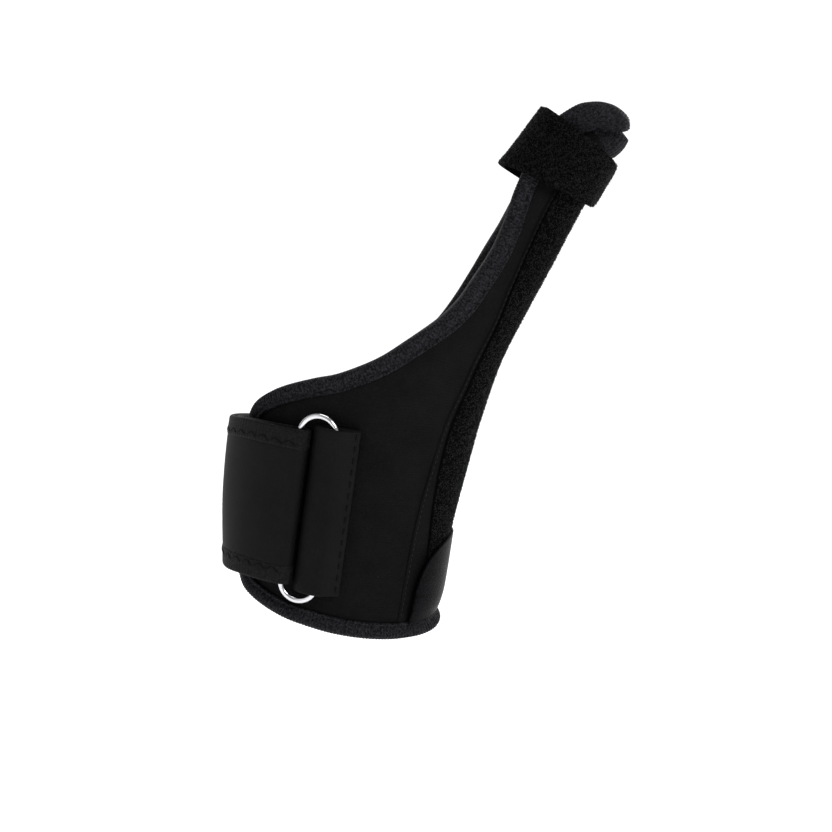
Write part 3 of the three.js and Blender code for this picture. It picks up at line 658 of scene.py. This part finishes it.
def makeTape(setup):
    spacing = setup["ribPitch"] / setup["perRib"]
    line, inner, raised, step = edgeFrame(spacing, tapeWidth)
    count = len(line)
    ribs = round(count / setup["perRib"])
    phase = np.arange(count) * ribs / count
    ridge = np.abs(np.sin(math.pi * phase)) ** 0.7 - 0.55
    atTip = line[:, 0] > setup["tipFrom"]
    size, middle, reach = (
        np.where(atTip, setup[k][1], setup[k][0]) for k in ("bulge", "bulgeTurn", "bulgeReach")
    )
    bulge = size * np.exp(-(((line[:, 1] - middle) / reach) ** 4))
    outer, wall = setup["profile"], setup["wallLift"]
    profile = outer + [(0, 0, 0.6)] + [(a, -b, c) for a, b, c in outer[::-1]]
    profile += [(0.6, -wall, 0), (0.3, -wall, 0), (0.2, 0, 0), (0.3, wall, 0), (0.6, wall, 0)]
    rings = []
    for share, lift, ribShare in profile:
        place = line + (inner - line) * share
        rise = lift * (1 + 0 * ridge) + math.copysign(1, lift) * ridge * setup["ribHeight"] * ribShare
        if lift > wall:
            rise = rise + bulge * (1 - share)
        rings.append(shellPoint(place[:, 0], place[:, 1], rise + raised))
    verts = np.stack(rings, 1)
    faces = gridFaces(count, len(profile), True, True)
    uv = np.stack(np.broadcast_arrays(
        (np.arange(count) * step)[:, None], np.array([p[0] for p in profile])[None, :] * tapeWidth), -1)
    return makeMesh("edgeTape", verts, faces, uv=uv.reshape(-1, 2)), count * step


# layers with rounded edges


def edgeSteps(length, edge, pitch):
    # places along a length, close together near its two ends
    near = edge * np.array([0, 0.06, 0.2, 0.42, 0.7, 1.0])
    inside = np.linspace(edge, length - edge, max(3, int((length - 2 * edge) / pitch)))
    return np.concatenate([near[:-1], inside, (length - near[:-1])[::-1]])


def pillow(name, length, width, thickness, place, pitch, edge=None, relief=None):
    # a closed sheet whose four edges are rounded; place(along, across, lift) takes millimetres
    edge = edge or thickness / 2
    s, w = edgeSteps(length, edge, pitch), edgeSteps(width, edge, pitch)
    along, across = np.meshgrid(s, w, indexing="ij")
    near = np.minimum(np.minimum(along, length - along), np.minimum(across, width - across))
    rounded = np.sqrt(np.clip(1 - (1 - np.clip(near / edge, 0, 1)) ** 2, 0, 1))
    half = thickness / 2 * rounded
    more = relief(along, across) * rounded if relief else 0
    top, under = place(along, across, half + more), place(along, across, -half)
    rows, cols = along.shape
    count = rows * cols
    inner = np.zeros((rows, cols), bool)
    inner[1:-1, 1:-1] = True
    lower = np.arange(count).reshape(rows, cols)
    lower[inner] = count + np.arange(inner.sum())
    verts = np.concatenate([top.reshape(-1, 3), under[inner]])
    faces = gridFaces(rows, cols)
    below = lower.ravel()[faces]
    uv = np.stack([along, across], -1)
    uv = np.concatenate([uv.reshape(-1, 2), uv[inner]])
    return makeMesh(name, verts, np.concatenate([faces, below[:, ::-1]]), uv=uv)


def turnOut(piece):
    # turns every face outward, by the sign of the closed mesh's volume
    mesh = piece.data
    co = np.empty(len(mesh.vertices) * 3)
    mesh.vertices.foreach_get("co", co)
    co = co.reshape(-1, 3)
    mesh.calc_loop_triangles()
    tri = np.empty(len(mesh.loop_triangles) * 3, np.int32)
    mesh.loop_triangles.foreach_get("vertices", tri)
    a, b, c = co[tri.reshape(-1, 3).T]
    if (a * np.cross(b, c)).sum() < 0:
        mesh.flip_normals()
    return piece


def roughly(height, scale, seed):
    # a relief for a pillow, uneven at one scale
    return lambda a, w: height * smoothNoise(np.stack([a, w, 0 * a], -1), scale, seed)


# cuff, thumb, sleeve and strip, the last two as shares of half the strip's width
stripSides = np.array([
    (-0.1, 0, 1.45, 0.88), (0.35, 0, 1.43, 0.98), (0.64, 0, 1.41, 1.13), (0.87, 0, 1.37, 1.2),
    (1, 0.05, 1.29, 1.16), (1, 0.18, 1.06, 0.96), (1, 0.316, 0.92, 0.85), (1, 0.44, 1, 0.94),
    (1, 0.57, 1.06, 1.01), (1, 0.83, 1.05, 1),
])
layerSetup = {
    "stripWidth": 26.0,
    "stripLength": 131.0,
    "sleeveWidth": 33.0,
    "sleeveLength": 142.0,
    "sleeveWall": 0.7,
    "stripWall": 1.0,
    "patchWall": 0.8,
    "patchWidth": 32.0,
    "patchHeight": 24.5,
    "stripTop": 0.825,  # of the thumb's length
    "overRim": 5.6,
    "sleeveRise": -1.2,  # from the foot line
    "stripRise": 11.0,
    "bow": 1.7,  # how far the stay in the sleeve bridges the hollow at the thumb's root
    "bowAt": 70.0,
    "bowReach": 58.0,
}
sleeveLift = form["wall"] / 2 - 0.25 + layerSetup["sleeveWall"] / 2
stripLift = form["wall"] / 2 + 0.35 + layerSetup["stripWall"] / 2
patchLift = form["wall"] / 2 + 1.9 + layerSetup["patchWall"] / 2
layerTop = form["cuffHeight"] + layerSetup["stripTop"] * form["thumbLength"]
rimTable = edgeSide(rimSide, 400)[0][::-1]


def footAt(around):
    turn = turnAt(0.0, around)
    return np.interp(turn, rimTable[:, 1], rimTable[:, 0]) + layerSetup["overRim"]


def sideReach(which, height):
    rows = heightOf(stripSides)
    return column(rows, stripSides[:, which], height) * layerSetup["stripWidth"] / 2


def stayBow(height, share):
    along = np.clip(1 - ((height - layerSetup["bowAt"]) / layerSetup["bowReach"]) ** 2, 0, 1) ** 1.25
    return layerSetup["bow"] * along * np.clip(1 - share**2, 0, 1)


def layerPlace(which, lift, rise, filled=False):
    # a layer on the thumb side, placed by how far along its length and width a point is
    def place(along, across, more):
        share = 1 - 2 * across
        foot = footAt(share * sideReach(which, 0.0)) + rise
        height = foot + (layerTop - foot) * along
        bow = stayBow(height, share)
        if filled:  # its under side stays on the panel
            bow = np.where(np.asarray(more) < 0, 0, bow)
        return onSplint(height, share * sideReach(which, height), lift + more + bow)

    return place


def makeLayer(name, length, width, wall, place, pitch, relief=None):
    scaled = lambda a, w, h: place(a / length, w / width, h)
    return turnOut(pillow(name, length, width, wall, scaled, pitch, edge=0.5, relief=relief))


def makeSleeve(setup):
    place = layerPlace(2, sleeveLift, setup["sleeveRise"], filled=True)
    size = setup["sleeveLength"], setup["sleeveWidth"], setup["sleeveWall"]
    return makeLayer("staySleeve", *size, place, 1.4), place


def makeStrip(setup):
    place = layerPlace(3, stripLift, setup["stripRise"])
    size = setup["stripLength"], setup["stripWidth"], setup["stripWall"]
    return makeLayer("pileStrip", *size, place, 0.7, roughly(0.16, 1.7, 11)), place


def makePatch(setup):
    width, tall = setup["patchWidth"], setup["patchHeight"]

    def place(along, across, more):
        share = 2 * across / width - 1
        arch = np.clip(1 - np.abs(share) ** 3, 0, 1) ** (1 / 3)
        around = -share * width / 2
        rise = along / tall * (0.12 + 0.88 * arch) * tall
        settle = 0.9 * np.clip(1 - rise / (0.3 * tall), 0, 1) ** 2
        return onSplint(footAt(around) - 0.8 + rise, around, patchLift + more - settle)

    puff = lambda a, w: 0.25 * np.sin(math.pi * w / width) * np.sin(math.pi * a / tall)
    return turnOut(pillow("footPatch", tall, width, setup["patchWall"], place, 0.8, edge=0.45, relief=puff))


# pile made of small loops

pileSetup = {
    "perSquare": 5.6,  # loops to a square millimetre
    "tall": (0.25, 0.5),
    "wide": (0.16, 0.32),
    "yarn": 0.12,
    "segments": 4,
}


def surfaceSample(place, lift, pairs):
    # places and normals on a layer, for pairs of numbers from 0 to 1
    margin, small = 0.01, 0.002
    a, w = (margin + pairs[:, k] * (1 - 2 * margin) for k in (0, 1))
    at = place(a, w, np.full(len(a), lift))
    da = place(a + small, w, np.full(len(a), lift)) - at
    dw = place(a, w + small, np.full(len(a), lift)) - at
    normal = unit(np.cross(da, dw))
    over = place(a, w, np.full(len(a), lift + 0.2)) - at
    return at, normal * np.sign((normal * over).sum(-1, keepdims=True))


def makePile(name, setup, area, place, lift, seed, share=1.0):
    rng = np.random.default_rng(seed)
    count = int(area * setup["perSquare"] * share)
    at, normal = surfaceSample(place, lift, rng.random((count, 2)))
    spin = rng.normal(size=(count, 3))
    tangent = unit(np.cross(normal, spin))
    side = np.cross(normal, tangent)
    lean = unit(normal + 0.55 * rng.normal(size=(count, 3)))
    tall = rng.uniform(*setup["tall"], count)[:, None]
    wide = rng.uniform(*setup["wide"], count)[:, None]
    yarn = setup["yarn"] / 2 * rng.uniform(0.8, 1.3, count)[:, None]
    rings = []
    for k in range(setup["segments"] + 1):
        a = math.pi * k / setup["segments"]
        spine = at + tangent * wide * math.cos(a) + lean * tall * math.sin(a) - normal * 0.1
        rings += [spine - side * yarn, spine + side * yarn]
    verts = np.stack(rings, 1)
    base = (np.arange(count) * len(rings))[:, None, None]
    k = np.arange(setup["segments"])[None, :, None] * 2
    faces = base + k + np.array([0, 1, 3, 2])[None, None, :]
    return makeMesh(name, verts, faces.reshape(-1, 4))


# wrist strap, ring and tab

strapSetup = {
    "width": 46.0,
    "wall": 1.3,
    "hemWidth": 6.0,
    "hemWall": 1.6,
    "foot": 4.5,
    "fall": 6.0,
    "ease": 1.2,
    "bow": 1.3,  # how far its middle stands out on the open side
    "tuck": 1.2,  # how far its lower edge is drawn in there
    "lift": 1.2,  # how much nearer each other its edges are there
    "sideAt": 0.26,  # where that is, and how far it reaches, in half rounds past its end
    "sideReach": 0.16,
    "hemOverlap": 0.6,
    "start": 1.62,
    "overStart": 1.29,
    "overEnd": 0.84,
}
ringSetup = {"length": 57.4, "width": 12.8, "wire": 1.8, "around": 49.5, "drift": 0.9}
tabSetup = {"width": 49.4, "wall": 1.5, "run": 6.2, "slack": 3.4, "droop": 1.2}
gap = 0.3
bindingWall = 1.1

ringHeight = strapSetup["foot"] + strapSetup["width"] / 2
ringTurn = float(turnAt(ringHeight, ringSetup["around"]))
ringArcs = np.array([np.interp(ringTurn, tableTurns, arcs) for arcs in tableArcs])


def onCuff(height, around, lift):
    # straight lines from the strap's foot to its head, spread from the ring
    height, around, lift = np.broadcast_arrays(*(np.asarray(v, float) for v in (height, around, lift)))
    low, high = strapSetup["foot"], strapSetup["foot"] + strapSetup["width"]
    corners = []
    for level, drift in ((low, 0.5), (high, -0.5)):
        levels = np.full(height.shape, level)
        distance = around - ringSetup["around"] + drift * ringSetup["drift"]
        turn = turnAt(levels, np.interp(levels, tableHeights, ringArcs) + distance)
        corners.append(shellPoint(levels, turn, lift))
    share = ((height - low) / (high - low))[..., None]
    return corners[0] * (1 - share) + corners[1] * share


innerLayer = form["wall"] / 2 + gap + strapSetup["hemWall"] / 2
foldRadius = ringSetup["wire"] / 2 + 1.5 * gap + strapSetup["hemWall"] / 2
barLift = innerLayer + foldRadius
barSpacing = ringSetup["width"] - ringSetup["wire"]
barsApart = np.linalg.norm(
    onCuff(ringHeight, ringSetup["around"] + barSpacing / 2, barLift)
    - onCuff(ringHeight, ringSetup["around"] - barSpacing / 2, barLift)
)
halfBars = barSpacing**2 / 2 / barsApart
strapBar, tabBar = ringSetup["around"] + halfBars, ringSetup["around"] - halfBars
halfRound = math.pi * math.sqrt((form["wristWidth"] ** 2 + form["wristDepth"] ** 2) / 8) * 1.05
overBinding = form["wall"] / 2 + bindingWall + gap + strapSetup["ease"] + strapSetup["hemWall"] / 2
backSeat = innerLayer + 2 * gap
outerLayer = overBinding + strapSetup["hemWall"] + gap


def easeIn(count):
    # even shares from 0 to 1, and the same with a gentle start and end
    t = np.linspace(0, 1, count)
    return t, t * t * (3 - 2 * t)


def strapPath():
    # under the binding, round the ring's bar and back over itself
    shares = np.linspace(strapSetup["start"], strapSetup["overEnd"], 60)
    lifted = 1 / (1 + np.exp((shares - strapSetup["overStart"]) / 0.012))
    under = np.stack([shares * halfRound, backSeat + (overBinding - backSeat) * lifted], -1)
    wrapShares = shares[shares <= strapSetup["overStart"]][::-1]
    wrapped = np.stack([wrapShares * halfRound, np.full(len(wrapShares), outerLayer)], -1)
    angles = np.linspace(-math.pi / 2, -1.5 * math.pi, 25)
    fold = np.stack([strapBar + foldRadius * np.cos(angles), barLift + foldRadius * np.sin(angles)], -1)
    mix = np.stack(easeIn(14), -1)[1:-1]
    down = under[-1] + (fold[0] - under[-1]) * mix
    up = fold[-1] + (wrapped[0] - fold[-1]) * mix
    return np.concatenate([under, down, fold, up, wrapped])


def pathTools(path):
    hop = np.linalg.norm(np.diff(path, axis=0), axis=1)
    run = np.concatenate([[0], np.cumsum(hop)])
    tangent = unit(np.gradient(path, run, axis=0))
    normal = np.stack([-tangent[:, 1], tangent[:, 0]], -1)

    def beside(along, more):
        # how far round the cuff and how far out a point is that lies off the path
        return (
            np.interp(along, run, path[:, k]) + np.interp(along, run, normal[:, k]) * more for k in (0, 1)
        )

    return beside, run[-1]


def strapPlace(setup, path):
    beside, length = pathTools(path)

    def place(along, across, more):
        onPath, _ = beside(along, 0)
        around, out = beside(along, more)
        past = onPath / halfRound - setup["overEnd"]
        share = across / setup["width"]
        side = np.exp(-(((past - setup["sideAt"]) / setup["sideReach"]) ** 4))
        bow = side * (setup["bow"] * 4 * share * (1 - share) - setup["tuck"] * (1 - share) ** 2)
        height = setup["foot"] + across - setup["fall"] * np.maximum(0, past)
        height += side * setup["lift"] * (0.75 - 1.5 * share)
        return onCuff(height, around, out + bow)

    return place, length


def makeStrap(setup):
    place, length = strapPlace(setup, strapPath())
    inset = setup["hemWidth"] - setup["hemOverlap"]
    middle = lambda a, w, h: place(a, w + inset, h)
    wide = setup["width"] - 2 * inset
    strap = pillow("wristStrap", length, wide, setup["wall"], middle, 1.2, relief=roughly(0.1, 26, 5))
    ribs = lambda a, w: 0.07 * np.abs(np.sin(math.pi * a / 1.1)) - 0.03
    hems = []
    for name, foot in (("lowerHem", 0.0), ("upperHem", setup["width"] - setup["hemWidth"])):
        raised = lambda a, w, h, foot=foot: place(a, w + foot, h)
        size = length, setup["hemWidth"], setup["hemWall"]
        hems.append(turnOut(pillow(name, *size, raised, 0.5, edge=0.7, relief=ribs)))
    return turnOut(strap), hems, place, length


def makeTab(setup):
    seat = form["wall"] / 2 + gap + setup["wall"] / 2
    fold = ringSetup["wire"] / 2 + 2.2 * gap + setup["wall"] / 2
    sewn = tabBar - setup["run"]
    t, ease = easeIn(14)
    under = np.stack([sewn + (tabBar - sewn) * t, seat + (barLift - fold - seat) * ease], -1)[:-1]
    angles = np.linspace(-math.pi / 2, math.pi / 2, 31)
    loop = np.stack([
        tabBar + (fold + setup["slack"]) * np.cos(angles),
        barLift + fold * np.sin(angles) - setup["droop"] * np.cos(angles),
    ], -1)
    topSeat = seat + setup["wall"] + 0.12
    t, ease = easeIn(22)
    over = np.stack([tabBar + (sewn - tabBar) * t, barLift + fold + (topSeat - barLift - fold) * ease], -1)
    beside, length = pathTools(np.concatenate([under, loop, over[1:]]))
    low = ringHeight - setup["width"] / 2
    place = lambda along, across, more: onCuff(low + across, *beside(along, more))
    piece = pillow("ringTab", length, setup["width"], setup["wall"], place, 0.8)
    return turnOut(piece), place, length


def makeRing(setup):
    straight = setup["length"] - setup["width"]
    low, high = ringHeight - straight / 2, ringHeight + straight / 2
    corner = lambda around, height: onCuff(height, around, barLift)
    lowLeft, lowRight = corner(strapBar, low), corner(tabBar, low)
    highLeft, highRight = corner(strapBar, high), corner(tabBar, high)
    upward = unit(highLeft + highRight - lowLeft - lowRight)
    sideways = lowRight + highRight - lowLeft - highLeft
    sideways = unit(sideways - (sideways @ upward) * upward)
    outward = np.cross(sideways, upward)
    centre = (lowLeft + lowRight + highLeft + highRight) / 4
    bend, wire = barSpacing / 2, setup["wire"] / 2
    bendSteps, sideSteps, wireSides = 32, 12, 20
    spine, facing = [], []
    for way in (1, -1):
        for k in range(bendSteps + 1):
            a = math.pi * k / bendSteps
            spine.append((way * bend * math.cos(a), way * bend * math.sin(a) + way * straight / 2))
            facing.append(a + (0 if way > 0 else math.pi))
        for k in range(1, sideSteps):
            spine.append((-way * bend, way * straight / 2 - way * straight * k / sideSteps))
            facing.append(math.pi if way > 0 else 2 * math.pi)
    spine, facing = np.array(spine), np.array(facing)
    turn = np.linspace(0, 2 * math.pi, wireSides, endpoint=False)
    reach = wire * np.cos(turn)[None, :]
    x = spine[:, :1] + reach * np.cos(facing)[:, None]
    z = spine[:, 1:] + reach * np.sin(facing)[:, None]
    y = np.broadcast_to(wire * np.sin(turn)[None, :], x.shape)
    verts = centre + x[..., None] * sideways + z[..., None] * upward + y[..., None] * outward
    return turnOut(makeMesh("wireRing", verts, gridFaces(len(spine), wireSides, True, True)))


# stitches


def makeStitches(name, starts, ends, normals, radius):
    # each stitch is a small rounded roll between two places
    starts, ends, normals = (np.asarray(v, float) for v in (starts, ends, normals))
    along = unit(ends - starts)
    side = unit(np.cross(along, normals))
    up = np.cross(side, along)
    shares = [0, 0.08, 0.3, 0.7, 0.92, 1]
    thick = [0.35, 0.85, 1, 1, 0.85, 0.35]
    dips = [-0.6, -0.15, 0.1, 0.1, -0.15, -0.6]
    turn = np.linspace(0, 2 * math.pi, 8, endpoint=False)
    rings = []
    for share, size, dip in zip(shares, thick, dips):
        centre = starts + (ends - starts) * share + up * (dip * radius)
        for a in turn:
            rings.append(centre + (side * math.cos(a) + up * math.sin(a)) * radius * size)
    verts = np.stack(rings, 1)
    count = len(starts)
    ring = gridFaces(len(shares), 8, False, True)
    caps = [(0, 3, 2, 1), (0, 5, 4, 3), (0, 7, 6, 5), (40, 41, 42, 43), (40, 43, 44, 45), (40, 45, 46, 47)]
    local = np.concatenate([ring[:, ::-1], np.array(caps)])
    faces = (np.arange(count) * len(rings))[:, None, None] + local[None]
    return makeMesh(name, verts, faces.reshape(-1, 4))


def stitchRow(name, place, along, across, hop, lift, radius):
    # a row of stitches on one face of a cloth; hop is how far each goes along and across it
    starts = place(along, across, np.full(len(along), lift))
    ends = place(along + hop[0], across + hop[1], np.full(len(along), lift))
    above = place(along, across, np.full(len(along), lift + math.copysign(0.3, lift)))
    return makeStitches(name, starts, ends, unit(above - starts), radius)


def zigzag(name, place, length, foot, setup):
    # a zigzag along a hem
    along = np.arange(setup["from"], length - 2.0, setup["pitch"])
    along = np.append(along, along[-1] + setup["pitch"])
    across = foot + np.where(np.arange(len(along)) % 2 == 0, 0.0, setup["width"])
    lift = strapSetup["hemWall"] / 2
    points, higher = (place(along, across, np.full(len(along), lift + off)) for off in (0.03, 0.4))
    return makeStitches(name, points[:-1], points[1:], unit(higher - points)[:-1], setup["radius"])


stitchSetup = {
    "sleeve": {"inset": 0.022, "from": 0.02, "pitch": 1.7 / 143, "length": 0.0068, "radius": 0.1},
    "tab": {"inset": 1.4, "from": 1.2, "pitch": 3.5, "length": 2.2, "radius": 0.26},
    "zigzag": {"from": 1.0, "pitch": 1.9, "width": 1.6, "radius": 0.2},
}


# thumb strap

thumbStrapSetup = {
    "length": 82.0,
    "width": 20.8,
    "pileWidth": 19.0,
    "wall": 1.1,
    "foot": 71.5,
    "taper": 7.5,
    "proud": 0.8,
    # turn, and what the strap lies on there
    "rows": [
        (-60, 4.1), (-70, 4.1), (-81, 4.1), (-93, 2.9), (-106, 2.9), (-119, 2.9), (-132, 0.9), (-145, 0.9),
        (-157, 0.9), (-168, 0.9), (-178, 0.9), (-188, 0.9), (-198, 0.9), (-209, 0.9), (-220, 2.9),
        (-232, 2.9), (-244, 2.9), (-256, 2.9), (-268, 2.9), (-279, 4.1), (-290, 4.1), (-301, 4.1), (-313, 4.1),
        (-326, 4.1), (-339, 4.1), (-350, 4.1), (-356, 4.1), (-361, 4.1),
    ],
}


def thumbStrapPlace(setup):
    rows = np.array(setup["rows"], float)
    turns = rows[:, 0]
    lifts = np.convolve(np.pad(rows[:, 1], 2, "edge"), [0.15, 0.2, 0.3, 0.2, 0.15], "valid")
    steps = len(rows) - 1
    foot = form["cuffHeight"] + setup["foot"]
    lean = math.cos(math.radians(form["thumbLean"]))

    def place(along, across, more):
        at, index = along * steps, np.arange(steps + 1)
        fromEnd = np.clip((1 - along) * steps / 1.6, 0, 1)
        corner = 1 - 0.26 * (1 - fromEnd) ** 2.4
        narrow = setup["taper"] * np.clip(along - 0.5, 0, 1) * 2
        width = (setup["width"] - narrow) * corner * lean
        height = foot + setup["width"] * lean / 2 + width * (across - 0.5)
        proud = setup["proud"] * np.clip((along - 0.9) / 0.1, 0, 1) ** 2
        lift = np.interp(at, index, lifts) + setup["wall"] / 2
        return shellPoint(height, np.interp(at, index, turns), lift + proud + more)

    return place


def makeThumbStrap(setup):
    place = thumbStrapPlace(setup)
    size = setup["length"], setup["width"], setup["wall"]
    return makeLayer("thumbStrap", *size, place, 0.7, roughly(0.14, 1.7, 23)), place


# build

print("stage: camera and studio")
addCamera(cameraSetup)
addStudio(studio, np.array(cameraSetup["aim"]))

print("stage: main panel and tape")
panelCloth = clothMaterial(panelLook)
mainPanel = turnOut(makePanel(panelSetup))
dress(mainPanel, panelCloth, "panel", "main_panel")
edgeTape, tapeLength = makeTape(tapeSetup)
dress(turnOut(edgeTape), clothMaterial(bindingLook), "binding", "edge_binding")
print("tape length", round(tapeLength), "mm")

print("stage: sleeve, strip and patch")
staySleeve, sleevePlace = makeSleeve(layerSetup)
dress(staySleeve, panelCloth, "panel", "stay_sleeve")
pileStrip, stripPlace = makeStrip(layerSetup)
pileGround = clothMaterial(pileBaseLook)
dress(pileStrip, pileGround, "pile", "loop_strip")
footPatch = makePatch(layerSetup)
dress(footPatch, clothMaterial(patchLook), "patch", "foot_patch")

print("stage: ring, tab and wrist strap")
strapCloth = clothMaterial(strapLook)
hemCloth = clothMaterial(hemLook)
wireRing = makeRing(ringSetup)
dress(wireRing, metalMaterial(), "ring", "strap_ring")
ringTab, tabPlace, tabLength = makeTab(tabSetup)
dress(ringTab, strapCloth, "strap", "ring_tab")
wristStrap, hems, onStrap, strapLength = makeStrap(strapSetup)
dress(wristStrap, strapCloth, "strap", "wrist_strap")
dress(hems[0], hemCloth, "hem", "strap_hem_lower")
dress(hems[1], hemCloth, "hem", "strap_hem_upper")
print("strap length", round(strapLength), "mm, tab length", round(tabLength), "mm")

print("stage: thumb strap")
thumbStrap, thumbPlace = makeThumbStrap(thumbStrapSetup)
dress(thumbStrap, pileGround, "pile", "thumb_strap")

print("stage: pile")
pileYarn = clothMaterial(pileLook)
stripArea = layerSetup["stripWidth"] * layerSetup["stripLength"]
stripPile = makePile("stripPile", pileSetup, stripArea, stripPlace, layerSetup["stripWall"] / 2, 31)
dress(stripPile, pileYarn, "pile")
thumbArea = thumbStrapSetup["pileWidth"] * thumbStrapSetup["length"]
strapPile = makePile(
    "thumbStrapPile", pileSetup, thumbArea, thumbPlace, thumbStrapSetup["wall"] / 2, 32, 1.1,
)
dress(strapPile, pileYarn, "pile")

print("stage: stitches")
threadCloth = clothMaterial(threadLook)
rule = stitchSetup["sleeve"]
spots = np.arange(rule["from"], 1 - rule["from"], rule["pitch"])
sides = np.repeat([rule["inset"], 1 - rule["inset"]], len(spots))
sleeveSeam = stitchRow(
    "sleeveSeam", sleevePlace, np.tile(spots, 2), sides, (rule["length"], 0.0),
    layerSetup["sleeveWall"] / 2, rule["radius"],
)
dress(sleeveSeam, clothMaterial(seamLook), "panel")
rule = stitchSetup["tab"]
rows = np.arange(rule["from"], tabSetup["width"] - 2.4, rule["pitch"])
tabSeam = stitchRow(
    "tabSeam", tabPlace, np.full(len(rows), tabLength - rule["inset"]), rows, (0.0, rule["length"]),
    -tabSetup["wall"] / 2, rule["radius"],
)
dress(tabSeam, threadCloth, "strap")
hemFeet = strapSetup["hemWidth"] - 2.6, strapSetup["width"] - strapSetup["hemWidth"] + 1.0
zigzags = []
for name, foot in zip(("lowerZigzag", "upperZigzag"), hemFeet):
    zigzags.append(zigzag(name, onStrap, strapLength, foot, stitchSetup["zigzag"]))
    dress(zigzags[-1], threadCloth, "hem")
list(hems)
